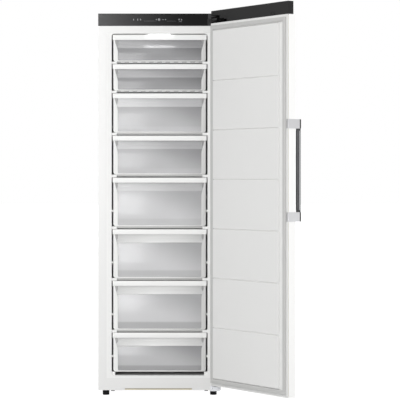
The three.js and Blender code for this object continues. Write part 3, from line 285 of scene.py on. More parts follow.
def add_screw(shape, place, radius=4.0, height=2.0):
    """A domed screw head with a cross recess, standing on the place's XY plane."""
    outline = [(1, 0), (1, 0.35), (0.86, 0.75), (0.5, 1), (0.36, 1), (0.3, 0.45), (0, 0.4)]
    add_turned(shape, [(radius * out, height * up) for out, up in outline], place, 20)
    corner = Vector((radius * 0.52, radius * 0.11, height * 1.02))
    for turn in (0, 90):
        slot = place @ Matrix.Rotation(math.radians(turn), 4, "Z")
        add_block(shape, (-corner.x, -corner.y, height * 0.6), corner, place=slot)


# ---------------------------------------------------------------- pieces
def add_object(name, data):
    made = bpy.data.objects.new(name, data)
    bpy.context.scene.collection.objects.link(made)
    return made


def place_piece(name, mesh, look, body):
    """A named piece with its finish, which rides on a body."""
    mesh.materials.clear()
    mesh.materials.append(finish(look))
    piece = add_object(name, mesh)
    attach(piece, body)
    return piece


def make_piece(name, shape, look, body, place=CABINET, angle=35):
    """Turns the shape into a piece, with sharp edges where it turns by more than the angle."""
    bmesh.ops.recalc_face_normals(shape, faces=shape.faces)
    shape.transform(place)
    mesh = bpy.data.meshes.new(name)
    shape.to_mesh(mesh)
    shape.free()
    mesh.shade_smooth()
    mesh.set_sharp_from_angle(angle=math.radians(angle))
    return place_piece(name, mesh, look, body)


def make_blocks(name, blocks, edge, look, body, place=CABINET, segments=2):
    """A piece of blocks, each with its lowest and its highest corner."""
    shape = bmesh.new()
    for low, high in blocks:
        add_block(shape, low, high, edge, segments)
    return make_piece(name, shape, look, body, place)


def make_pipe(name, points, radius):
    """A bent copper pipe along a smooth line through the points, as a mesh."""
    line = bpy.data.curves.new(name, "CURVE")
    line.dimensions = "3D"
    line.bevel_depth = radius * MM
    line.bevel_resolution = 4
    line.resolution_u = 6
    line.use_fill_caps = True
    spline = line.splines.new("NURBS")
    spline.points.add(len(points) - 1)
    for point, spot in zip(points, spline.points):
        spot.co = (*(CABINET @ Vector(point)), 1)
    spline.order_u = 4
    spline.use_endpoint_u = True
    pipe = add_object(name + "_line", line)
    bpy.context.view_layer.update()
    graph = bpy.context.evaluated_depsgraph_get()
    mesh = bpy.data.meshes.new_from_object(pipe.evaluated_get(graph))
    bpy.data.objects.remove(pipe)
    mesh.shade_smooth()
    return place_piece(name, mesh, "copper", "cabinet")


def add_modifier(piece, name, kind, **values):
    made = piece.modifiers.new(name, kind)
    for key, value in values.items():
        setattr(made, key, value)


def smooth_shading():
    """Geometry nodes that shade every face of a CAD node smoothly."""
    group = bpy.data.node_groups.get("Smooth faces")
    if group is None:
        group = bpy.data.node_groups.new("Smooth faces", "GeometryNodeTree")
        for way in ("INPUT", "OUTPUT"):
            group.interface.new_socket(
                "Geometry", in_out=way, socket_type="NodeSocketGeometry"
            )
        source = group.nodes.new("NodeGroupInput")
        smooth = group.nodes.new("GeometryNodeSetShadeSmooth")
        result = group.nodes.new("NodeGroupOutput")
        group.links.new(source.outputs[0], smooth.inputs["Geometry"])
        group.links.new(smooth.outputs[0], result.inputs[0])
    return group


def finish_node(name, look, edge=0.0):
    """Gives a CAD node its finish and, where there is an edge width, rounded edges."""
    node = NODES[name]
    for held in node.material_slots:
        held.link = "OBJECT"
        held.material = finish(look)
    if edge <= 0:
        return
    add_modifier(node, "Weld", "WELD", merge_threshold=0.02 * MM)
    add_modifier(node, "Flat faces", "DECIMATE", decimate_type="DISSOLVE",
                 angle_limit=math.radians(0.5))
    add_modifier(node, "Rounded edges", "BEVEL", width=edge, segments=2, limit_method="ANGLE",
                 angle_limit=math.radians(32))
    add_modifier(node, "Smooth faces", "NODES", node_group=smooth_shading())
    add_modifier(node, "Normals", "WEIGHTED_NORMAL", keep_sharp=False)


# ---------------------------------------------------------------- shader groups
FLOAT, COLOUR = "NodeSocketFloat", "NodeSocketColor"
BAND_SOFTNESS = 0.04
FADE_WAVER = 0.12                # how much the patches bend the line of a fade


def add_node(tree, kind, **values):
    node = tree.nodes.new(kind)
    for key, value in values.items():
        setattr(node, key, value)
    return node


def math_node(tree, operation, first, second):
    """A Math node whose inputs are sockets or numbers."""
    node = add_node(tree, "ShaderNodeMath", operation=operation)
    for place, value in enumerate((first, second)):
        if isinstance(value, (int, float)):
            node.inputs[place].default_value = value
        else:
            tree.links.new(value, node.inputs[place])
    return node.outputs[0]


def noise_node(tree, place, scale, detail):
    """Noise at a place and a scale, both of them sockets."""
    node = add_node(tree, "ShaderNodeTexNoise")
    node.inputs["Detail"].default_value = detail
    tree.links.new(place, node.inputs["Vector"])
    tree.links.new(scale, node.inputs["Scale"])
    return node.outputs["Fac"]


def range_node(tree, value, links):
    """A smooth rise over the value, whose limits are given by sockets."""
    node = add_node(tree, "ShaderNodeMapRange", interpolation_type="SMOOTHSTEP")
    tree.links.new(value, node.inputs["Value"])
    for label, socket in links.items():
        tree.links.new(socket, node.inputs[label])
    return node.outputs["Result"]


def shader_group(name, inputs, effect):
    """A shader group that is built once: named inputs, then a colour, roughness and height.

    The effect adds its nodes and gives the colour, a tone to scale it by, the pattern that
    the gloss swings with, and the height."""
    tree = bpy.data.node_groups.get(name)
    if tree:
        return tree
    tree = bpy.data.node_groups.new(name, "ShaderNodeTree")
    for label, default in {"Colour": (0.8, 0.8, 0.8, 1), **inputs}.items():
        kind = COLOUR if isinstance(default, tuple) else FLOAT
        socket = tree.interface.new_socket(label, in_out="INPUT", socket_type=kind)
        socket.default_value = default
    for label, kind in (("Colour", COLOUR), ("Roughness", FLOAT), ("Height", FLOAT)):
        tree.interface.new_socket(label, in_out="OUTPUT", socket_type=kind)
    given = tree.nodes.new("NodeGroupInput").outputs
    result = tree.nodes.new("NodeGroupOutput").inputs
    colour, tone, pattern, height = effect(tree, given)
    scaled = add_node(tree, "ShaderNodeVectorMath", operation="SCALE")
    tree.links.new(colour, scaled.inputs[0])
    tree.links.new(tone, scaled.inputs["Scale"])
    tree.links.new(scaled.outputs[0], result["Colour"])
    swing = math_node(tree, "SUBTRACT", pattern, 0.5)
    swing = math_node(tree, "MULTIPLY", swing, given["Gloss change"])
    tree.links.new(math_node(tree, "ADD", given["Gloss"], swing), result["Roughness"])
    tree.links.new(height, result["Height"])
    return tree


def kept_tone(tree, given, pattern):
    """The share of the tone that is left where the pattern takes some of it away."""
    loss = math_node(tree, "MULTIPLY", pattern, given["Tone change"])
    return math_node(tree, "SUBTRACT", 1.0, loss)


def patchy_surface(tree, given):
    """Slow changes of tone and gloss over a surface, and its fine grain."""
    place = add_node(tree, "ShaderNodeTexCoord").outputs["Object"]
    patches = noise_node(tree, place, given["Patch scale"], 3)
    grain = noise_node(tree, place, given["Grain scale"], 2)
    return given["Colour"], kept_tone(tree, given, patches), patches, grain


def brushed_lines(tree, given):
    """Fine lines of a brushed or drawn metal, stretched along one axis."""
    place = add_node(tree, "ShaderNodeTexCoord").outputs["Object"]
    stretch = add_node(tree, "ShaderNodeCombineXYZ")
    for axis in ("X", "Y"):
        stretch.inputs[axis].default_value = 1
    tree.links.new(given["Stretch"], stretch.inputs["Z"])
    along = add_node(tree, "ShaderNodeVectorMath", operation="MULTIPLY")
    tree.links.new(place, along.inputs[0])
    tree.links.new(stretch.outputs[0], along.inputs[1])
    lines = noise_node(tree, along.outputs[0], given["Line scale"], 4)
    return given["Colour"], kept_tone(tree, given, lines), lines, lines


def fading_tone(tree, given):
    """A painted tone of light and shade that fades to a far colour over the piece's own box.

    Along and Up say how far each direction carries the fade. A band at the bottom may have
    a painted tone of its own."""
    place = add_node(tree, "ShaderNodeTexCoord").outputs
    parts = add_node(tree, "ShaderNodeSeparateXYZ")
    tree.links.new(place["Generated"], parts.inputs[0])
    patches = noise_node(tree, place["Object"], given["Patch scale"], 2)
    grain = noise_node(tree, place["Object"], given["Grain scale"], 2)
    across = math_node(tree, "MULTIPLY", parts.outputs["X"], given["Along"])
    upward = math_node(tree, "MULTIPLY", parts.outputs["Z"], given["Up"])
    reach = math_node(tree, "ADD", across, upward)
    reach = math_node(tree, "ADD", reach, math_node(tree, "MULTIPLY", patches, FADE_WAVER))
    mix = add_node(tree, "ShaderNodeMix", data_type="RGBA")
    share = range_node(tree, reach, {"From Min": given["Start"], "From Max": given["End"]})
    tree.links.new(share, mix.inputs["Factor"])
    tree.links.new(given["Colour"], mix.inputs["A"])
    tree.links.new(given["Far colour"], mix.inputs["B"])
    band_end = math_node(tree, "ADD", given["Band"], BAND_SOFTNESS)
    above = range_node(tree, parts.outputs["Z"], {
        "From Min": given["Band"], "From Max": band_end, "To Min": given["Band tone"]})
    return mix.outputs["Result"], above, patches, grain


GRAIN = {"Patch scale": 6.0, "Grain scale": 900.0}
SURFACE = (
    "Surface variation",
    {"Tone change": 0.03, "Gloss": 0.4, "Gloss change": 0.08, **GRAIN},
    patchy_surface,
)
BRUSHED = (
    "Brushed lines",
    {"Colour": (0.6, 0.6, 0.6, 1), "Tone change": 0.1, "Gloss": 0.3, "Gloss change": 0.1,
     "Line scale": 1500.0, "Stretch": 0.02},
    brushed_lines,
)
FADE = (
    "Fading tone",
    {"Far colour": (0.5, 0.5, 0.5, 1), "Along": 1.0, "Up": 0.0, "Start": 0.0, "End": 1.0,
     "Band": -1.0, "Band tone": 1.0, "Gloss": 0.2, "Gloss change": 0.05, **GRAIN},
    fading_tone,
)


# ---------------------------------------------------------------- finishes
def dull(level):
    return {"Specular IOR Level": level}


METAL = {"Metallic": 1.0}
# a painted glow, for plastic that is no lamp
GLOW = {"Emission Color": WHITE}
FINE = ("Gloss", "Gloss change", "Patch scale", "Grain scale")
LINES = ("Gloss", "Gloss change", "Line scale", "Stretch")
PAINTED_SHADE_TONE = 0.6                  # painted shade: how much darker the thin plastic is painted than the thick
# Each finish: its name, its colour or colour setting, how much the tone changes, then gloss,
# gloss change, patch scale and grain scale (line scale and stretch in a metal), the bump,
# and the values that the shader itself takes.
FINISHES = {
    "enamel": ("White enamel", "enamel", 0.015, (0.34, 0.06, 3, 420), 0.12,
               {"Coat Weight": 0.3, "Coat Roughness": 0.12}),
    "white_plastic": ("White moulded plastic", "plastic", 0.02, (0.46, 0.08, 5, 1600), 0.1, {}),
    "rail_plastic": ("Glossy rail plastic", "rail", 0.01, (0.38, 0.06, 7, 1900), 0.05,
                     dull(0.3)),
    "door_plastic": ("Door sheet plastic", "inner_sheet", 0.02, (0.44, 0.08, 4, 1500), 0.1, {}),
    "shelf_glass": ("Shelf glass", "glass", 0.04, (0.05, 0.03, 9, 500), 0.02,
                    {"Transmission Weight": 0.85, "IOR": 1.45}),
    "black_plastic": ("Black moulded plastic", "black", 0.12, (0.42, 0.1, 9, 1500), 0.12,
                      dull(0.21)),
    "seal_rubber": ("Soft seal", "seal", 0.06, (0.6, 0.12, 14, 1100), 0.12, {}),
    "zinc_steel": ("Zinc-plated steel", "zinc", 0.18, (0.36, 0.16, 240, 0.7), 0.08, METAL),
    "bracket_metal": ("Satin bracket metal", "bracket", 0.08, (0.3, 0.1, 1400, 0.03), 0.05,
                      METAL),
    # the grip's dark colour is a painted reflection, the strip's brightness a painted highlight
    "grip_metal": ("Dark anodised grip", "grip", 0.1, (0.32, 0.1, 1500, 0.02), 0.05,
                   {"Metallic": 0.9}),
    "strip_metal": ("Bright grip strip", "strip", 0.08, (0.22, 0.08, 1700, 0.02), 0.04, METAL),
    "fin_aluminium": ("Fin stock", (0.62, 0.63, 0.65), 0.14, (0.34, 0.12, 500, 0.1), 0.06,
                      METAL),
    "copper": ("Copper pipe", (0.62, 0.33, 0.20), 0.25, (0.32, 0.2, 160, 0.6), 0.05, METAL),
    "foam": ("Insulation foam", (0.78, 0.69, 0.42), 0.2, (0.9, 0.1, 30, 700), 0.6, {}),
    "compressor_enamel": ("Compressor enamel", (0.014, 0.014, 0.015), 0.2,
                          (0.34, 0.12, 12, 380), 0.2, {}),
    "board_lacquer": ("Circuit board lacquer", (0.02, 0.12, 0.05), 0.3, (0.3, 0.1, 60, 900),
                      0.1, {}),
    # a near-black painted shade that fills hollows
    "dark_hollow": ("Dark hollow", (0.0008, 0.0008, 0.0008), 0.2, (0.8, 0.1, 30, 900), 0.1,
                    dull(0.05)),
    "foot_plastic": ("Matt black foot plastic", (0.006, 0.006, 0.007), 0.2,
                     (0.55, 0.1, 30, 1300), 0.25, {}),
    "foot_rubber": ("Matt foot rubber", (0.006, 0.006, 0.007), 0.2, (0.6, 0.1, 30, 1300), 0.25,
                    dull(0.12)),
    "bush_plastic": ("Acetal bush", (0.62, 0.61, 0.57), 0.05, (0.4, 0.08, 30, 1300), 0.05, {}),
    "print_white": ("Panel print", (0.55, 0.56, 0.58), 0.1, (0.5, 0.05, 90, 900), 0, {}),
    "lamp_lens": ("Lamp diffuser", (0.7, 0.71, 0.72), 0.04, (0.4, 0.05, 40, 800), 0.1,
                  {"Emission Color": (0.95, 0.98, 1, 1), "Emission Strength": 0.05}),
}


def shade(colour, tone=1.0):
    """A colour, or the setting of that name, darkened to a tone."""
    if isinstance(colour, str):
        colour = getattr(colours(), colour)
    return [part * tone for part in colour]


def finish_material(name, colour, group, values, bump, own):
    """A material whose colour, roughness and bump come from a shared group.

    The values go to the group's inputs, and the shader's own ones to its sockets."""
    known = bpy.data.materials.get(name)
    if known:
        return known
    material = bpy.data.materials.new(name)
    material.use_nodes = True
    tree = material.node_tree
    principled = tree.nodes["Principled BSDF"]
    effect = add_node(tree, "ShaderNodeGroup", node_tree=shader_group(*group))
    effect.inputs["Colour"].default_value = (*colour, 1)
    for label, value in values.items():
        effect.inputs[label].default_value = value
    tree.links.new(effect.outputs["Colour"], principled.inputs["Base Color"])
    tree.links.new(effect.outputs["Roughness"], principled.inputs["Roughness"])
    if bump > 0:
        relief = add_node(tree, "ShaderNodeBump")
        relief.inputs["Strength"].default_value = bump
        relief.inputs["Distance"].default_value = 0.1 * MM
        tree.links.new(effect.outputs["Height"], relief.inputs["Height"])
        tree.links.new(relief.outputs["Normal"], principled.inputs["Normal"])
    for label, value in own.items():
        principled.inputs[label].default_value = value
    return material


def finish(look):
    """The material of a finish in the table. A look that is a material already stays."""
    if isinstance(look, bpy.types.Material):
        return look
    name, colour, change, fine, bump, own = FINISHES[look]
    metal = "Metallic" in own
    values = {"Tone change": change, **dict(zip(LINES if metal else FINE, fine))}
    return finish_material(name, shade(colour), BRUSHED if metal else SURFACE, values, bump, own)


def painted_shade_plastic(name, change, fine, bump, own):
    """White plastic painted darker, as painted shade."""
    values = {"Tone change": change, **dict(zip(FINE, fine))}
    return finish_material(name, shade("plastic", PAINTED_SHADE_TONE), SURFACE, values, bump, own)


# grey painted shade for the skirts below the drawers and the fold in the plinth's cut-out
def painted_shade_skirt_plastic():
    return painted_shade_plastic("Grey skirt plastic", 0.05, (0.5, 0.08, 9, 1500), 0.08, {})


def painted_glow_plastic(glow=0.32):
    """White plastic painted darker, with a painted glow that stands for the light inside the drawer
    coming through it.
    """
    return painted_shade_plastic(f"Thin white plastic, glow {glow:.2f}", 0.03, (0.3, 0.06, 9, 1900),
                          0.05, {**GLOW, "Emission Strength": glow})


def fading_material(name, near, far, reach, fine, bump, own, **fade):
    """A finish that fades from the near to the far colour between the reach's two ends."""
    values = {"Far colour": (*far, 1), "Start": reach[0], "End": reach[1],
              **dict(zip(FINE, fine)), **fade}
    return finish_material(name, near, FADE, values, bump, own)


def painted_shade_cheek_plastic():
    """The same plastic at the recess's ends, with painted shade, darker mostly on the right, and a
    weaker painted glow.
    """
    return fading_material("Thin cheek plastic", shade("plastic", 0.5), shade("plastic", 0.3),
                           (0.4, 0.7), (0.3, 0.06, 9, 1900), 0.05,
                           {**GLOW, "Emission Strength": 0.15})


def post_plastic():
    """The posts' white plastic with painted shade, a little greyer on the side away from the light.
    """
    return fading_material("White post plastic", shade("plastic"), shade("plastic", 0.72),
                           (0.55, 1.1), (0.46, 0.08, 5, 1600), 0.1, {})


# Black glass strip with a painted reflection: lighter at its left end, fading to black at the
# right.
def panel_painted_reflection():
    return fading_material("Black control glass", shade("sheen"), shade("panel"),
                           (-0.35, 0.95), (0.16, 0.04, 4, 1200), 0.02, dull(0.12))


def bin_plastic(height=240, band_tone=0.84):
    """Frosted plastic with painted shade towards the upper right, darker in shallow bins, and a
    painted tone on its lowest band.
    """
    share = soft_step(height, 130, 240)
    near, far = (
        [low + (high - low) * part for low, high in zip(shade(shallow), shade(deep))]
        for shallow, deep, part in (("top_bin", "bin", share ** 0.7),
                                    ("top_bin_shade", "bin_shade", share))
    )
    name = f"Frosted plastic, {round(height, -1):.0f} mm bin, band {band_tone:.2f}"
    return fading_material(name, near, far, (0.7, 1.4), (0.12, 0.05, 5, 1300), 0.08,
                           {"Transmission Weight": 0.45, "IOR": 1.3},
                           **{"Along": 0.8, "Up": 0.85, "Band": 0.14, "Band tone": band_tone})


# ---------------------------------------------------------------- cabinet
PLINTH_FOLD = ((-167.6, 8.6, 30.8), (156.6, 9.8, 34.4))
TAB_MIDDLES = (-226.5, 226.5)


class FREEZER_OT_cabinet(bpy.types.Operator):
    """Finish the cabinet's steel, its covers and its insulation"""

    bl_idname = "freezer.cabinet"
    bl_label = "Cabinet"

    def execute(self, context):
        finish_node("cabinet_shell", "enamel", edges().sheet / 2)
        finish_node("top_cover", "white_plastic", edges().moulded)
        finish_node("cabinet_foam", "foam")
        # the folded steel behind the cut-out in the front's lower edge, in grey plastic as painted
        # shade
        make_blocks("plinth_return", [PLINTH_FOLD], 0.3, painted_shade_skirt_plastic(), "cabinet")
        make_blocks("base_tabs", [((x - 9, 6, 20.5), (x + 9, 34, 24.9)) for x in TAB_MIDDLES],
                    1.0, "black_plastic", "cabinet")
        self.back_sheet()
        return {"FINISHED"}

    def back_sheet(self):
        """The pressed back sheet: a flat rim, long ribs pressed outwards and a row of screws."""
        low, high = local_box("back_panel")
        rim, rib_width, ribs = 26, 34, 6
        bottom = (low.z + rim + 10, low.z + rim + 40)
        top = (high.z - rim - 40, high.z - rim - 10)
        spacing = (high.x - low.x - 2 * rim) / ribs
        centres = [low.x + rim + spacing * (i + 0.5) for i in range(ribs)]
        columns = [low.x, low.x + 1.2]
        for centre in centres:
            columns += steps_between(centre - rib_width / 2, centre + rib_width / 2, 12)
        columns += [high.x - 1.2, high.x]
        rows = [low.z, low.z + rim, *steps_between(*bottom, 5), *steps_between(*top, 5),
                high.z - rim, high.z]
        flat = high.y - 1.0

        def height(x, z):
            along = soft_step(z, *bottom) * (1 - soft_step(z, *top))
            across = max(1 - abs(x - centre) / (rib_width / 2) for centre in centres)
            return flat + soft_step(across, 0, 0.25) * along

        shape = bmesh.new()
        add_relief(shape, columns, rows, height)
        sheet = make_piece("back_sheet", shape, "enamel", "cabinet")
        add_modifier(sheet, "Sheet", "SOLIDIFY", thickness=0.9 * MM, offset=-1)
        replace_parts(sheet, "back_panel")
        screws = bmesh.new()
        for z in steps_between(low.z + 16, high.z - 16, 6):
            for x in (low.x + 11, high.x - 11):
                add_screw(screws, facing((x, flat - 0.6, z), (0, 1, 0)), 3.6, 1.5)
        make_piece("back_screws", screws, "zinc_steel", "cabinet")


# backwards and up from the lower front edge of a shelf's glass
EDGE_STRIP = [(-1.2, -1.4), (5, -1.4), (5, -0.35), (0.2, -0.35), (0.2, 4.3), (5, 4.3),
              (5, 5.2), (-1.2, 5.2)]


class FREEZER_OT_liner(bpy.types.Operator):
    """Finish the liner, the glass shelves and the lamp in the ceiling"""

    bl_idname = "freezer.liner"
    bl_label = "Liner and shelves"

    def execute(self, context):
        finish_node("inner_liner", "white_plastic", edges().moulded * 0.7)
        finish_node("led_lamp", "lamp_lens", edges().moulded)
        for i in range(1, SHELF_COUNT + 1):
            finish_node(f"glass_shelf_{i}", "shelf_glass", edges().moulded)
            self.edge_strip(i)
        return {"FINISHED"}

    def edge_strip(self, i):
        """A slim white strip clipped over the front edge of a glass shelf, with a painted glow."""
        low, high = local_box(f"glass_shelf_{i}")
        shape = bmesh.new()
        rings = [[(x, low.y + y, low.z + z * 0.9) for y, z in EDGE_STRIP]
                 for x in (low.x + 14, high.x - 14)]
        loft(shape, rings, (True, True))
        make_piece(f"shelf_edge_{i}", shape, painted_glow_plastic(), "cabinet")


# ---------------------------------------------------------------- control strip
MARK_ROW, LOW_ROW = 1820.5, 1813.5
CRYSTAL_X, KEY_X, LOCK_X = -2.7, 95.2, 106.4


class FREEZER_OT_controls(bpy.types.Operator):
    """Finish the control strip and the hinge cover, with plain touch marks"""

    bl_idname = "freezer.controls"
    bl_label = "Control strip"

    def execute(self, context):
        finish_node("control_panel", panel_painted_reflection(), edges().sheet)
        finish_node("hinge_cover", "foot_plastic", edges().sheet)
        finish_node("control_board", "board_lacquer")
        self.marks()
        return {"FINISHED"}

    def marks(self):
        """Dots, lines, a snow crystal and two small symbols, as print on the strip."""
        shape = bmesh.new()
        front = local_box("control_panel")[0].y
        depth = (front - 0.12, front - 0.01)

        def bar(x, z, width, height, turn=0):
            place = Matrix.Translation((x, 0, z)) @ Matrix.Rotation(math.radians(turn), 4, "Y")
            outline = round_box((-width / 2, width / 2), (-height / 2, height / 2),
                                min(width, height) * 0.45, 3)
            add_plate(shape, outline, depth, place=place)

        def ring(x, z, radius, line):
            outer, inner = (arc((x, z), reach, 0, 342, 19) for reach in (radius, radius - line))
            add_plate(shape, outer, depth, [inner])

        for x in (-125.8, -105.9, -92.3):
            bar(x, MARK_ROW + 1.6, 3.6, 3.6)
            bar(x, MARK_ROW - 2.6, 5.2, 1.4)
        bar(-44.3, LOW_ROW, 59, 0.3)
        bar(57.2, LOW_ROW, 42, 0.3)
        for turn in (30, 90, 150):
            bar(CRYSTAL_X, MARK_ROW, 13, 2.4, turn)
        for i, (x, z) in enumerate(arc((CRYSTAL_X, MARK_ROW), 4.4, 30, 330, 5)):
            bar(x, z, 4.2, 1.2, 60 - 60 * i)
        for x in (-15.5, 16.7, 28.8):
            bar(x, MARK_ROW, 3.8, 3.8)
        ring(KEY_X, MARK_ROW, 3.3, 1.1)
        bar(KEY_X, MARK_ROW + 0.9, 0.9, 2.6)
        bar(LOCK_X, MARK_ROW - 1.1, 4.6, 3.4)
        ring(LOCK_X, MARK_ROW + 1.6, 2.0, 0.7)
        bar((KEY_X + LOCK_X) / 2 - 0.3, MARK_ROW - 10, 15, 0.7)
        make_piece("control_marks", shape, "print_white", "cabinet")


class FREEZER_OT_hinges(bpy.types.Operator):
    """Finish both hinges and their bushes and add the screws"""

    bl_idname = "freezer.hinges"
    bl_label = "Hinges"

    def execute(self, context):
        for end, look in (("top", "black_plastic"), ("bottom", "zinc_steel")):
            finish_node(f"{end}_hinge", look, edges().metal)
            finish_node(f"hinge_bush_{end}", "bush_plastic", edges().metal / 2)
            low, high = local_box(f"{end}_hinge")
            level = low.z + 12 if end == "bottom" else high.z - 7
            shape = bmesh.new()
            for x in (high.x - 8, low.x + 8):
                add_screw(shape, facing((x, -2.9, level), (0, -1, 0)), 4.2, 2.2)
            make_piece(f"{end}_hinge_screws", shape, look, "cabinet")
        return {"FINISHED"}


# ---------------------------------------------------------------- drawers
RAIL_HEIGHT = 24.6
TOP_RAIL_EXTRA = 2.0             # how much taller the top drawer's rail is
RAIL_DEPTH = 3.0                 # thickness of the grip rail's front
RAIL_EAR = 3.4                   # how far the rail's ends stand past the posts
POST_TOP = 6.4                   # a post's width below the rail
POST_GAIN = 15.6                 # how much wider it gets
POST_SLANT = 66.0                # height over which it widens
POST_CORNER = 12                 # radius of a post's lower corner
RECESS_TOP = 23.0                # from the drawer's top down to the recess
RECESS_DROP = 42.0               # from there down to the lip
LEDGE_RISE = 20.0
CHEEK_FROM_SIDE = 6.0            # where a cheek starts, behind its post
CHEEK_SLANT = 0.75               # how far a cheek leans inwards for each millimetre of depth
SHALLOW_DRAWERS = 2              # from the top
SKIRT_DROP = 9.5                 # how far the skirt hangs below a deep drawer's front
BAR_HEIGHT = 5.2                 # of the bar below the window
BIN_FOOT = 7.0                   # height of the bin's rounded foot
BIN_DRAFT = 1.6                  # how far its walls stand in above the foot
BIN_BACK_WALL = 19.7             # of the recess in the bin, from its front
# for each drawer from the top: the recess's painted glow, and the painted tone of the window's
# lowest band, lighter in the top four and darker below
RECESS_PAINTED_GLOW = (0.46, 0.48, 0.54, 0.38, 0.32, 0.29, 0.29, 0.29)
PAINTED_BAND_TONES = (1.05, 1.05, 1.08, 1.06, 0.92, 0.86, 0.76, 0.76)


class FREEZER_OT_drawers(bpy.types.Operator):
    """Build the eight drawers: grip rail, posts, recess cheeks and a frosted bin"""

    bl_idname = "freezer.drawers"
    bl_label = "Drawers"

    def execute(self, context):
        for number in range(1, DRAWER_COUNT + 1):
            self.build(number)
        return {"FINISHED"}

    def build(self, number):
        body = f"drawer_{number}"
        frame = local_box(f"{body}_frame")
        tub = local_box(f"{body}_tub")
        lip = frame[1].z - RECESS_TOP - RECESS_DROP
        for piece in (self.rail(body, *frame), self.posts(body, *frame)):
            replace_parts(piece, f"{body}_frame")
        depth = frame[1].z - tub[0].z
        plastic = bin_plastic(depth, PAINTED_BAND_TONES[number - 1])
        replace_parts(self.bin(body, lip, *tub, plastic), f"{body}_tub")
        self.recess(body, lip, *frame, painted_glow_plastic(RECESS_PAINTED_GLOW[number - 1]))
        self.floor_ribs(body, *tub)
        if number <= SHALLOW_DRAWERS:
            self.runner_feet(body, frame[0])
        elif number < DRAWER_COUNT:
            self.skirt(body, *frame)

    def rail(self, body, low, high):
        """The rounded bar across the top, with its ledge over the recess."""
        curve = edges().rail_round / MM
        bottom = high.z - RAIL_HEIGHT - (TOP_RAIL_EXTRA if body == "drawer_1" else 0)
        front, back, top = low.y, high.y, high.z
        profile = [(front + 0.9, bottom), (front + 0.35, bottom + 0.7), (front, bottom + 3),
                   (front, top - curve - 3)]
        profile += arc((front + curve, top - curve), curve, 162, 90, 4)
        profile += [(back - 0.6, top), (back, top - 0.6), (back, top - RAIL_DEPTH),
                    (front + RAIL_DEPTH + 3, top - RAIL_DEPTH),
                    (front + RAIL_DEPTH, top - RAIL_DEPTH - 3), (front + RAIL_DEPTH, bottom)]
        shape = bmesh.new()
        ends = (low.x - RAIL_EAR, high.x + RAIL_EAR)
        loft(shape, [[(x, y, z) for y, z in profile] for x in ends], (True, True))
        caps = [e for e in shape.edges if abs(e.verts[0].co.x - e.verts[1].co.x) < 0.1]
        round_edges(shape, caps, 0.8, 3)
        return make_piece(f"{body}_rail", shape, "rail_plastic", body, angle=30)

    def posts(self, body, low, high):
        """Two posts that widen below the rail, joined by a bar, with rounded lower corners."""
        half = high.x
        top = high.z - RAIL_DEPTH - 0.2
        outer = [(-half, top)]
        for side, start in ((-1, 180), (1, 270)):
            middle = (side * (half - POST_CORNER), low.z + POST_CORNER)
            outer += arc(middle, POST_CORNER, start, start + 90, 6)
        outer.append((half, top))
        window = [(half - POST_TOP, top - 4)]
        for drop in (0, 8, 16, 24, 32, 40, 50, 58, POST_SLANT):
            gain = POST_GAIN * soft_step(drop, -8, POST_SLANT)
            window.append((half - POST_TOP - gain, high.z - RECESS_TOP - drop))
        foot = low.z + BAR_HEIGHT
        inside = window[-1][0]
        window += [(inside, foot + 4), (inside - 4, foot)]
        window += [(-x, z) for x, z in reversed(window)]
        shape = bmesh.new()
        add_plate(shape, outer, (low.y + RAIL_DEPTH, low.y + 10), [window])
        bmesh.ops.dissolve_limit(shape, angle_limit=math.radians(1), verts=shape.verts,
                                 edges=shape.edges)
        limit = math.radians(45)
        sharp = [e for e in shape.edges if e.is_manifold and e.calc_face_angle(0) > limit]
        round_edges(shape, sharp, 1.3, 3)
        return make_piece(f"{body}_posts", shape, post_plastic(), body,
                          angle=40)

    def recess(self, body, lip, low, high, plastic):
        """The white finger recess behind the rail, with a sloping ledge and slanting cheeks, in
        plastic with painted glow and painted shade.
        """
        roof = high.z - 3.6
        back, front = low.y + 29.4, low.y + 10.2
        profile = [(front, lip + 0.6), (back - 1.2, lip + LEDGE_RISE - 0.2),
                   (back, lip + LEDGE_RISE + 2), (back, roof)]

        def end(y):
            return high.x - CHEEK_FROM_SIDE - (y - front) * CHEEK_SLANT

        middle = bmesh.new()
        loft(middle, [[(side * end(y), y, z) for y, z in profile] for side in (-1, 1)],
             closed=False)
        cheeks = bmesh.new()
        for side in (-1, 1):
            corners = [*profile, (front, roof)]
            cheeks.faces.new([cheeks.verts.new((side * end(y), y, z)) for y, z in corners])
        for piece in (
            make_piece(f"{body}_recess", middle, plastic, body, angle=40),
            make_piece(f"{body}_cheeks", cheeks, painted_shade_cheek_plastic(), body),
        ):
            add_modifier(piece, "Wall", "SOLIDIFY", thickness=0.8 * MM, offset=0)

    def skirt(self, body, low, high):
        """A narrow skirt below a deep drawer's front, set back from it, grey with painted shade."""
        block = ((low.x + 12, low.y + 8, low.z - SKIRT_DROP), (high.x - 12, low.y + 9.4, low.z + 2))
        make_blocks(f"{body}_skirt", [block], 0.4, painted_shade_skirt_plastic(), body)

    def runner_feet(self, body, low):
        """Small feet under the shallow drawers' fronts."""
        blocks = [((x - 9, 23, low.z - 4.2), (x + 9, 31, low.z - 0.1))
                  for x in steps_between(-180, 180, 9)]
        make_blocks(f"{body}_feet", blocks, 0.8, "white_plastic", body)

    def bin(self, body, lip, low, high, plastic):
        """An open bin: a rounded floor, drafted walls, a sloping ledge and a turned-out rim."""
        corner = edges().bin_corner / MM
        back_wall = low.y + BIN_BACK_WALL
        rings = []

        def ring(z, front, inset):
            outline = round_box((low.x + inset, high.x - inset), (front, high.y - inset),
                                corner, 6)
            rings.append([(x, y, z) for x, y in outline])

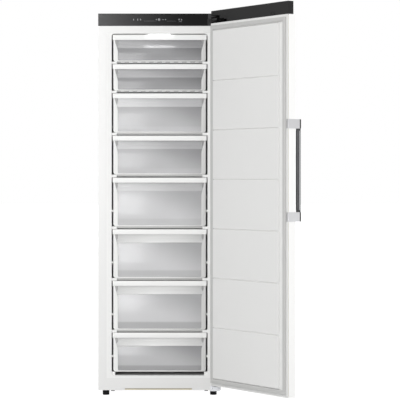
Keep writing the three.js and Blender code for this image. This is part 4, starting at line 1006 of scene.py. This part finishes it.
        for turn in steps_between(0, 90, 4):
            angle = math.radians(turn)
            inset = BIN_DRAFT + BIN_FOOT * (1 - math.sin(angle))
            ring(low.z + BIN_FOOT * (1 - math.cos(angle)), low.y + inset - BIN_DRAFT, inset)
        ring(lip - 2, low.y, BIN_DRAFT * 0.4)
        ring(lip + 0.5, low.y + 1.0, BIN_DRAFT * 0.4)
        ring(lip + LEDGE_RISE - 2, back_wall - 1.4, BIN_DRAFT * 0.3)
        ring(lip + LEDGE_RISE + 1, back_wall, BIN_DRAFT * 0.3)
        ring(high.z - 2.5, back_wall, 0.2)
        ring(high.z - 1.4, back_wall, -0.2)
        shape = bmesh.new()
        loft(shape, rings, (True, False))
        piece = make_piece(f"{body}_bin", shape, plastic, body, angle=50)
        add_modifier(piece, "Wall", "SOLIDIFY", thickness=edges().bin_wall, offset=-1)
        add_modifier(piece, "Rim", "BEVEL", width=0.6 * MM, segments=2, limit_method="ANGLE",
                     angle_limit=math.radians(60))
        return piece

    def floor_ribs(self, body, low, high):
        """Low ribs along the bin's floor."""
        blocks = [((x - 1.2, low.y + 16, low.z + 2.1), (x + 1.2, high.y - 16, low.z + 3.6))
                  for x in steps_between(-168, 168, 8)]
        make_blocks(f"{body}_floor_ribs", blocks, 0.5, bin_plastic(), body)


# ---------------------------------------------------------------- door
TILE_FROM_HINGE = 27.5
TILE_FROM_FREE_END = 56.5
TILE_FROM_TOP = 33.2
TILE_FROM_BOTTOM = 26.0
TILE_RISE = 10.0
FIRST_GROOVE = 335.0
GROOVE_PITCH = 237.0
GROOVES = 6
GROOVE_WIDTH = 7.0
GROOVE_DEPTH = 4.8
SHEET_SPREAD = 1.2               # how far the sheet laps past its CAD node
PLUG_FROM_HINGE = 497.0
TRIM_LAP = 5.5
POCKET_WIDTH = 68.5
POCKET_BELOW_TOP = 24.0
ARM_SLOT = (6.6, 13.4)           # above the strip's lower side, for the hinge's arm
ARM_SLOT_FROM_END = 45.5


class FREEZER_OT_door(bpy.types.Operator):
    """Finish the door's skin and strip and build its inner sheet"""

    bl_idname = "freezer.door"
    bl_label = "Door"

    def execute(self, context):
        finish_node("door_panel", "enamel", edges().sheet / 2)
        finish_node("door_foam", "foam")
        finish_node("door_top_trim", "black_plastic", edges().moulded)
        finish_node("door_bottom_cap", "white_plastic", edges().moulded)
        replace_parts(self.inner_sheet(), "door_liner")
        self.strip_details()
        return {"FINISHED"}

    def inner_sheet(self):
        """The formed inner sheet: a flat margin and a raised tile crossed by soft grooves."""
        low, high = local_box("door_liner", DOOR)
        edge = edges().tile_edge / MM
        slope = 2 * edge
        tile_x = (low.x + TILE_FROM_FREE_END, high.x - TILE_FROM_HINGE)
        tile_z = (low.z + TILE_FROM_BOTTOM, high.z - TILE_FROM_TOP)
        flat = high.y - TILE_RISE
        grooves = [FIRST_GROOVE + GROOVE_PITCH * i for i in range(GROOVES)]
        half = GROOVE_WIDTH / 2

        def rise(value, span, width):
            return soft_step(value, span[0], span[0] + width) * (
                1 - soft_step(value, span[1] - width, span[1]))

        def height(x, z):
            level = flat + TILE_RISE * rise(x, tile_x, edge) * rise(z, tile_z, slope)
            dip = max(0, 1 - min(abs(z - groove) for groove in grooves) / half)
            return level - GROOVE_DEPTH * soft_step(dip, 0, 0.6) * rise(x, tile_x, edge)

        def across(span, width, first, last):
            """Lines over both soft edges, with a guard line beside each to keep flats flat."""
            near = [span[0] - 1, *steps_between(span[0], span[0] + width, 6),
                    span[0] + width + 1]
            far = [span[1] - width - 1, *steps_between(span[1] - width, span[1], 6),
                   span[1] + 1]
            return [first, first + 1.5, *near], [*far, last - 1.5, last]

        left, right = across(tile_x, edge, low.x - SHEET_SPREAD, high.x + SHEET_SPREAD)
        rows, top = across(tile_z, slope, low.z - SHEET_SPREAD, high.z + SHEET_SPREAD)
        for groove in grooves:
            rows += [groove - half - 1.5, *steps_between(groove - half, groove + half, 8),
                     groove + half + 1.5]
        shape = bmesh.new()
        add_relief(shape, left + right, rows + top, height)
        piece = make_piece("door_inner_sheet", shape, "door_plastic", "door",
                           DOOR, 60)
        add_modifier(piece, "Sheet", "SOLIDIFY", thickness=1.6 * MM, offset=-1)
        add_modifier(piece, "Normals", "WEIGHTED_NORMAL", keep_sharp=True)
        return piece

    def strip_details(self):
        """The top strip's plug, the hollow at its hinge end, filled with near-black painted shade,
        with its wall, and its lip.
        """
        low, high = local_box("door_top_trim", DOOR)
        plate_low, plate_high = ARM_SLOT
        plug = high.x - PLUG_FROM_HINGE
        self.dark("closer_plug", "black_plastic", 1.5,
                  [((plug, high.y - 7.4, low.z + 0.6), (plug + 27, high.y - 1.2, low.z + 13.4))])
        hollow = [(62, 1.5, 0.8, plate_low), (62, 1.5, plate_high, 29),
                  (62, ARM_SLOT_FROM_END, plate_low, plate_high), (104, 60, 0.8, 19)]
        self.dark("hinge_hollow", "dark_hollow", 0.2,
                  [((high.x - far, high.y - 6, low.z + bottom),
                    (high.x - near, high.y + 0.25, low.z + top))
                   for far, near, bottom, top in hollow])
        self.dark("hinge_arm_cover", "foot_plastic", 1.0,
                  [((high.x - 46, high.y - 4, low.z + plate_high),
                    (high.x - 4, high.y + 1.2, low.z + 23))], 3)
        self.dark("pocket_front", "black_plastic", 0.2,
                  [((high.x - POCKET_WIDTH, low.y, low.z),
                    (high.x, low.y + 2.6, high.z - POCKET_BELOW_TOP))])
        self.dark("trim_lip", "black_plastic", 0.7,
                  [((low.x, high.y - 2.6, low.z - TRIM_LAP),
                    (high.x, high.y + 0.5, low.z + 1.5))])

    def dark(self, name, look, edge, blocks, segments=2):
        make_blocks(name, blocks, edge, look, "door", DOOR, segments)


# inwards from the outer side and up from the door: foot, bellows fold, magnet pocket
SEAL_PROFILE = [(3, 0), (3, 1.2), (1.0, 2.0), (0.3, 3.0), (0.5, 4.2), (1.0, 5.0), (0.5, 5.8),
                (0, 7.2), (0, 9.6), (0.5, 10.5), (1.5, 10.9), (12.5, 10.9), (17.5, 9.8),
                (19.6, 8.2), (20, 6.6), (17.6, 5.6), (17.6, 3.6), (16, 1.6), (15, 0)]


class FREEZER_OT_seal(bpy.types.Operator):
    """Build the magnetic seal round the door"""

    bl_idname = "freezer.seal"
    bl_label = "Seal"

    def execute(self, context):
        low, high = local_box("door_gasket", DOOR)
        rings = []
        for inward, up in SEAL_PROFILE:
            left, right, y = low.x + inward, high.x - inward, low.y + up
            bottom, top = low.z + inward, high.z - inward
            rings.append([(left, y, bottom), (right, y, bottom), (right, y, top), (left, y, top)])
        shape = bmesh.new()
        loft(shape, rings, joined=True)
        seal = make_piece("door_seal", shape, "seal_rubber", "door", DOOR, 50)
        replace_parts(seal, "door_gasket")
        return {"FINISHED"}


BRACKETS = ("handle_bracket_top", "handle_bracket_bottom")
# where round the grip the painted highlight strip lies, outside and inside, in degrees
STRIP_OUTER = (171, 177, 183, 190, 197)
STRIP_INNER = (197, 184, 171)
EDGE_ON_FACE = 3.4               # how far the painted shade edge reaches over a bracket's flat side
EDGE_FIRST_ANGLE = 203           # of the painted shade edge round the grip
EDGE_CURL_ANGLE = 202            # where a bracket's curl starts
EDGE_LAST_ANGLE = 250


class FREEZER_OT_handle(bpy.types.Operator):
    """Finish the handle's brackets and build its grip"""

    bl_idname = "freezer.handle"
    bl_label = "Handle"

    def execute(self, context):
        for node in BRACKETS:
            finish_node(node, "bracket_metal", edges().metal)
        low, high = local_box("handle_bar", DOOR)
        middle = (low + high) / 2
        radius = (high.x - low.x) / 2
        self.grip(middle, radius, (high.z - low.z) / 2)
        self.dark_edge(middle, radius, (low.z + 9, high.z - 9))
        self.screws()
        return {"FINISHED"}

    def grip(self, middle, radius, half):
        """A round bar with turned ends, dark as a painted reflection, with a painted highlight
        strip along its outer side.
        """
        outline = [(0, -half), (radius - 1.5, -half), (radius - 0.4, -half + 0.6),
                   (radius - 0.4, -half + 5), (radius - 1.2, -half + 5.6),
                   (radius - 1.2, -half + 6.6), (radius - 0.05, -half + 7.4)]
        outline += [(out, -up) for out, up in reversed(outline)]
        bar = bmesh.new()
        add_turned(bar, outline, Matrix.Translation(middle), 48)
        piece = make_piece("handle_grip", bar, "grip_metal", "door", DOOR, 30)
        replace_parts(piece, "handle_bar")
        section = [(radius + 0.02, turn) for turn in STRIP_OUTER]
        section += [(radius - 1, turn) for turn in STRIP_INNER]
        around = [arc(middle, out, turn, turn, 1)[0] for out, turn in section]
        strip = bmesh.new()
        rings = [[(x, y, z) for x, y in around]
                 for z in (middle.z - half + 9, middle.z + half - 9)]
        loft(strip, rings, (True, True))
        make_piece("handle_strip", strip, "strip_metal", "door", DOOR, 50)

    def dark_edge(self, middle, radius, heights):
        """Painted shade: a thin dark band along the handle's outer side, over both brackets and the
        grip.
        """
        shape = bmesh.new()

        def painted_shade_band(corners, reach, first, heights):
            curve = arc((0, 0), reach, first, EDGE_LAST_ANGLE, 8)
            line = [Vector(point) for point in (*corners, *curve)]
            inner = [point * (1 - 0.5 / point.length) for point in reversed(line)]
            loft(shape, [[(middle.x + x, middle.y + y, z) for x, y in line + inner]
                         for z in heights], (True, True))

        for node in BRACKETS:
            low, high = local_box(node, DOOR)
            face = low.x - middle.x - 0.12
            painted_shade_band([(face, EDGE_ON_FACE), (face, -2.5)], radius + 1.12, EDGE_CURL_ANGLE,
                  (low.z + 0.4, high.z - 0.4))
        painted_shade_band([], radius + 0.06, EDGE_FIRST_ANGLE, heights)
        make_piece("handle_dark_edge", shape, "foot_rubber", "door", DOOR)

    def screws(self):
        shape = bmesh.new()
        for node in BRACKETS:
            low, high = local_box(node, DOOR)
            for level in (0.28, 0.72):
                z = low.z + (high.z - low.z) * level
                add_screw(shape, facing((low.x + 9.5, high.y - 0.2, z), (0, 1, 0)), 2.6, 1.0)
        make_piece("bracket_screws", shape, "zinc_steel", "door", DOOR)


# ---------------------------------------------------------------- feet and rollers
DISC_HEIGHT = 24.7
DISC_STEPS = 48
SCALLOP_EVERY = 4                # steps
STUD_RADIUS = 4
THREAD_TURNS = 30
THREAD_DEPTH = 0.55


class FREEZER_OT_feet(bpy.types.Operator):
    """Build the levelling feet and finish the rear rollers"""

    bl_idname = "freezer.feet"
    bl_label = "Feet and rollers"

    def execute(self, context):
        for side in ("left", "right"):
            self.foot(side)
            finish_node(f"rear_roller_{side}", "foot_plastic", edges().moulded)
        return {"FINISHED"}

    def foot(self, side):
        """A scalloped disc on a threaded stud."""
        name = f"front_foot_{side}"
        low, high = local_box(name)
        middle = (low + high) / 2
        radius = (high.x - low.x) / 2
        thick = DISC_HEIGHT
        outline = [(0, 0), (radius - 1.2, 0), (radius - 0.4, 0.5), (radius, 2), (radius, 5),
                   (radius - 0.9, 6), (radius - 0.9, 7), (radius, 8), (radius, thick - 2.5),
                   (radius - 2, thick), (6, thick), (6, thick + 1.5), (4, thick + 1.5)]
        pitch = (high.z - thick - 2.5) / THREAD_TURNS
        outline += [(STUD_RADIUS - THREAD_DEPTH * (i % 2), thick + 1.5 + i * pitch)
                    for i in range(THREAD_TURNS + 1)]
        outline += [(3, high.z), (0, high.z)]
        shape = bmesh.new()
        add_turned(shape, outline, Matrix.Translation((middle.x, middle.y, 0)), DISC_STEPS)
        for vertex in shape.verts:
            away = Vector((vertex.co.x - middle.x, vertex.co.y - middle.y))
            if 7 < vertex.co.z < thick - 1 and away.length > radius - 1.6:
                turn = round(math.atan2(away.y, away.x) / (2 * math.pi) * DISC_STEPS)
                if turn % SCALLOP_EVERY == 0:
                    vertex.co.xy -= away.normalized()
        piece = make_piece(f"levelling_foot_{side}", shape, "foot_rubber", name,
                           angle=30)
        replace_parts(piece, name)


# ---------------------------------------------------------------- cold circuit
TUBE_ROWS = 6
TUBE_REACH, TUBE_RADIUS = 16, 4


class FREEZER_OT_cold_circuit(bpy.types.Operator):
    """Finish the air duct cover, the evaporator and its fan"""

    bl_idname = "freezer.cold_circuit"
    bl_label = "Cold circuit"

    def execute(self, context):
        finish_node("air_duct_cover", "white_plastic", edges().moulded)
        finish_node("evaporator", "fin_aluminium")
        finish_node("fan_motor", "black_plastic", edges().moulded)
        finish_node("evaporator_fan", "white_plastic", edges().metal)
        self.evaporator_tubes()
        return {"FINISHED"}

    def evaporator_tubes(self):
        """Return bends of the tube at both ends of the fins."""
        low, high = local_box("evaporator")
        pitch = (high.z - low.z) / TUBE_ROWS
        middle = (low.y + high.y) / 2
        for end, x, way in (("left", low.x, -1), ("right", high.x, 1)):
            shape = bmesh.new()
            for i in range(1, TUBE_ROWS):
                centre = Vector((x, middle, low.z + pitch * i))
                rings = []
                for out, up in arc((0, 0), 1, -90, 90, 8):
                    reach = Vector((way * out * TUBE_REACH, 0, up * pitch / 2))
                    away = reach.normalized()
                    rings.append([centre + reach + away * across + Vector((0, along, 0))
                                  for across, along in arc((0, 0), TUBE_RADIUS, 0, 324, 9)])
                loft(shape, rings, (True, True))
            make_piece(f"evaporator_bends_{end}", shape, "fin_aluminium", "cabinet")


# ---------------------------------------------------------------- machine room
CAN_FROM_END = 90                # the compressor's axis
SEAM_HEIGHT = 106
SEAM = [(74, -4), (77.5, -3.2), (78, 0), (77.5, 3.2), (74, 4), (74, -4)]
MOUNT = [(0, 0), (10, 0), (11, 1), (11, 4), (8, 5), (8, 7), (10, 8), (9, 10), (0, 10)]
MOUNT_SPOTS = ((-78, -28), (-78, 28), (78, -28), (78, 28))
INLET_PINS = ((-8, -3), (8, -3), (0, 5))


class FREEZER_OT_machine_room(bpy.types.Operator):
    """Finish the machine room and add its pipes and fittings"""

    bl_idname = "freezer.machine_room"
    bl_label = "Machine room"

    def execute(self, context):
        finish_node("machine_base", "zinc_steel", edges().metal)
        finish_node("compressor", "compressor_enamel", edges().moulded)
        finish_node("drip_tray", "black_plastic", edges().moulded * 0.7)
        finish_node("condenser", "compressor_enamel")
        finish_node("filter_drier", "copper", edges().moulded)
        finish_node("power_inlet", "black_plastic", edges().moulded)
        low, high = local_box("compressor")
        can = Vector((high.x - CAN_FROM_END, (low.y + high.y) / 2, low.z))
        self.compressor_fittings(can)
        self.pipes(can)
        self.inlet_pins()
        return {"FINISHED"}

    def compressor_fittings(self, can):
        """The welded seam round the can and the rubber mounts in its feet."""
        seam = bmesh.new()
        level = Matrix.Translation((can.x, can.y, can.z + SEAM_HEIGHT))
        add_turned(seam, SEAM, level, 48)
        make_piece("compressor_seam", seam, "compressor_enamel", "cabinet")
        mounts = bmesh.new()
        for x, y in MOUNT_SPOTS:
            add_turned(mounts, MOUNT, Matrix.Translation(can + Vector((x, y, 18))), 20)
        make_piece("compressor_mounts", mounts, "foot_plastic", "cabinet")

    def pipes(self, can):
        """Pipes from the compressor to the condenser, to the drier and up to the cold side."""
        fins_low, fins_high = local_box("condenser")
        drier_low, drier_high = local_box("filter_drier")
        drier = (drier_low + drier_high) / 2
        start = can + Vector((-62, 46, 88))
        make_pipe("discharge_pipe",
                  [start, start + Vector((-26, 22, 0)), start + Vector((-60, 30, 30)),
                   (fins_high.x + 40, 560, fins_high.z - 20),
                   (fins_high.x - 4, 556, fins_high.z - 24)], 3.0)
        make_pipe("liquid_pipe",
                  [(fins_high.x - 4, 520, fins_low.z + 14),
                   (fins_high.x + 16, 526, fins_low.z + 4),
                   (drier.x - 14, 522, drier_low.z + 1), (drier.x, drier.y, drier_low.z + 2),
                   (drier.x, drier.y, drier_low.z + 8)], 2.6)
        top = Vector((drier.x, drier.y, drier_high.z - 3))
        coil = [top + Vector((x, y, 16 + i * 0.55))
                for i, (x, y) in enumerate(arc((-15, 0), 15, 0, 1080, 48))]
        make_pipe("capillary",
                  [top, top + Vector((0, 0, 8)), *coil, top + Vector((0, -40, 60)),
                   top + Vector((0, -60, 108))], 1.1)
        suction = can + Vector((-20, 64, 100))
        make_pipe("suction_pipe",
                  [suction, suction + Vector((-6, 22, 4)), suction + Vector((-46, 22, 40)),
                   (drier.x + 26, 560, 210), (drier.x + 14, 520, 236),
                   (drier.x + 14, 500, 258)], 3.4)

    def inlet_pins(self):
        """Three flat pins inside the power inlet."""
        low, high = local_box("power_inlet")
        middle = (low + high) / 2
        blocks = [((middle.x + x - 2, low.y + 13, middle.z + z - 1),
                   (middle.x + x + 2, high.y - 8, middle.z + z + 1)) for x, z in INLET_PINS]
        make_blocks("inlet_pins", blocks, 0.4, "zinc_steel", "cabinet")


# ---------------------------------------------------------------- stage
FLOOR_CORNERS = ((-40, -40), (40, -40), (40, 60), (-40, 60))
FLOOR_GLOW = 0.95
LENS = 152.3                     # for a sensor 36 mm wide
SENSOR = 36
VIEW_SHIFT = -0.0535             # puts the horizon above the middle of the frame


class FREEZER_OT_stage(bpy.types.Operator):
    """Set up the floor, the lamps and the camera"""

    bl_idname = "freezer.stage"
    bl_label = "Stage"

    def execute(self, context):
        studio = context.scene.freezer_studio
        context.scene.view_settings.view_transform = "Standard"
        front = CABINET @ Vector((0, 0, 0))
        self.world(context, studio)
        self.floor(studio)
        context.scene.camera = self.camera(studio, front)
        self.lamps(studio, front)
        return {"FINISHED"}

    def seen_rays(self, tree):
        """One for rays from the camera, off gloss or through glass, and nought for the rest."""
        paths = tree.nodes.new("ShaderNodeLightPath").outputs
        both = math_node(tree, "MAXIMUM", paths["Is Camera Ray"], paths["Is Glossy Ray"])
        return math_node(tree, "MAXIMUM", both, paths["Is Transmission Ray"])

    def world(self, context, studio):
        world = bpy.data.worlds.new("Studio")
        context.scene.world = world
        world.use_nodes = True
        tree = world.node_tree
        light = tree.nodes["Background"]
        light.inputs["Color"].default_value = WHITE
        extra = math_node(tree, "MULTIPLY", self.seen_rays(tree), 1 - studio.ambient)
        strength = math_node(tree, "ADD", extra, studio.ambient)
        tree.links.new(strength, light.inputs["Strength"])

    def floor(self, studio):
        material = bpy.data.materials.new("Studio floor")
        material.use_nodes = True
        tree = material.node_tree
        paint = tree.nodes["Principled BSDF"]
        paint.inputs["Base Color"].default_value = (*studio.floor, 1)
        paint.inputs["Roughness"].default_value = 0.9
        paint.inputs["Emission Color"].default_value = WHITE
        glow = math_node(tree, "MULTIPLY", self.seen_rays(tree), FLOOR_GLOW)
        tree.links.new(glow, paint.inputs["Emission Strength"])
        mesh = bpy.data.meshes.new("floor")
        mesh.from_pydata([(x, y, 0) for x, y in FLOOR_CORNERS], [], [(0, 1, 2, 3)])
        mesh.materials.append(material)
        floor = add_object("floor", mesh)

    def camera(self, studio, front):
        """The photograph's level view."""
        data = bpy.data.cameras.new("Camera")
        data.lens = LENS
        data.sensor_width = SENSOR
        data.shift_y = VIEW_SHIFT
        data.clip_end = 200
        camera = add_object("Camera", data)
        camera.location = front + Vector((studio.aside, -studio.distance, studio.height))
        camera.rotation_euler = (math.radians(90), 0, 0)
        return camera

    def lamp(self, name, place, target, size, power, shown=False):
        data = bpy.data.lights.new(name, "AREA")
        data.shape = "RECTANGLE"
        data.size, data.size_y = size
        data.energy = power
        lamp = add_object(name, data)
        lamp.location = place
        aim = Vector(target) - Vector(place)
        lamp.rotation_euler = aim.to_track_quat("-Z", "Y").to_euler()
        lamp.visible_camera = shown
        lamp.visible_glossy = shown

    def lamps(self, studio, front):
        """A key light, the lamp in the ceiling with its light on the rail, and a side light."""
        self.lamp("Key", front + Vector((-1.9, -6.2, 1.8)), front + Vector((0.1, 0, 0.9)),
                  (2.6, 2.6), studio.key_power, shown=True)
        lens_low, lens_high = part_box("led_lamp")
        middle = (lens_low + lens_high) / 2
        middle.z = lens_low.z - 0.5 * MM
        self.lamp("Cabinet lamp", middle, middle - Vector((0, 0.004, 0.03)), (0.1, 0.026),
                  studio.lamp_power)
        down = Vector((0, 0.4, -1))
        rail = Vector((middle.x, front.y + 3 * MM, middle.z + 0.5 * MM))
        self.lamp("Rail glow", rail, rail + down, (0.13, 0.005), studio.rail_power)
        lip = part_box("drawer_1_frame")[1].z - (RECESS_TOP + RECESS_DROP) * MM
        ledge = Vector((middle.x, front.y + 19 * MM, lip + 15 * MM))
        self.lamp("Ledge glow", ledge, ledge + down, (0.15, 0.004), studio.ledge_power)
        self.lamp("Side", front + Vector((5.2, -2.0, 1.5)), front + Vector((0.55, -0.3, 0.95)),
                  (5, 2.8), studio.side_power)


# ---------------------------------------------------------------- add-on
OPERATORS = (
    FREEZER_OT_cabinet,
    FREEZER_OT_liner,
    FREEZER_OT_controls,
    FREEZER_OT_hinges,
    FREEZER_OT_drawers,
    FREEZER_OT_door,
    FREEZER_OT_seal,
    FREEZER_OT_handle,
    FREEZER_OT_feet,
    FREEZER_OT_cold_circuit,
    FREEZER_OT_machine_room,
    FREEZER_OT_stage,
)
GROUPS = {
    "freezer_colours": FreezerColours,
    "freezer_edges": FreezerEdges,
    "freezer_studio": FreezerStudio,
}


class FREEZER_PT_panel(bpy.types.Panel):
    """Sidebar panel with the settings and one button for each group of pieces"""

    bl_idname = "FREEZER_PT_panel"
    bl_label = "Upright freezer"
    bl_space_type = "VIEW_3D"
    bl_region_type = "UI"
    bl_category = "Freezer"

    def draw(self, context):
        for attribute, group in GROUPS.items():
            box = self.layout.box()
            for setting in group.__annotations__:
                box.prop(getattr(context.scene, attribute), setting)
        for operator in OPERATORS:
            self.layout.operator(operator.bl_idname)


CLASSES = (*GROUPS.values(), *OPERATORS, FREEZER_PT_panel)


def register():
    for held in CLASSES:
        bpy.utils.register_class(held)
    for attribute, group in GROUPS.items():
        setattr(bpy.types.Scene, attribute, bpy.props.PointerProperty(type=group))


def unregister():
    for attribute in GROUPS:
        delattr(bpy.types.Scene, attribute)
    for held in reversed(CLASSES):
        bpy.utils.unregister_class(held)


def main():
    register()
    bpy.ops.freezer.cabinet()
    bpy.ops.freezer.liner()
    bpy.ops.freezer.controls()
    bpy.ops.freezer.hinges()
    bpy.ops.freezer.drawers()
    bpy.ops.freezer.door()
    bpy.ops.freezer.seal()
    bpy.ops.freezer.handle()
    bpy.ops.freezer.feet()
    bpy.ops.freezer.cold_circuit()
    bpy.ops.freezer.machine_room()
    bpy.ops.freezer.stage()


if __name__ == "__main__":
    main()
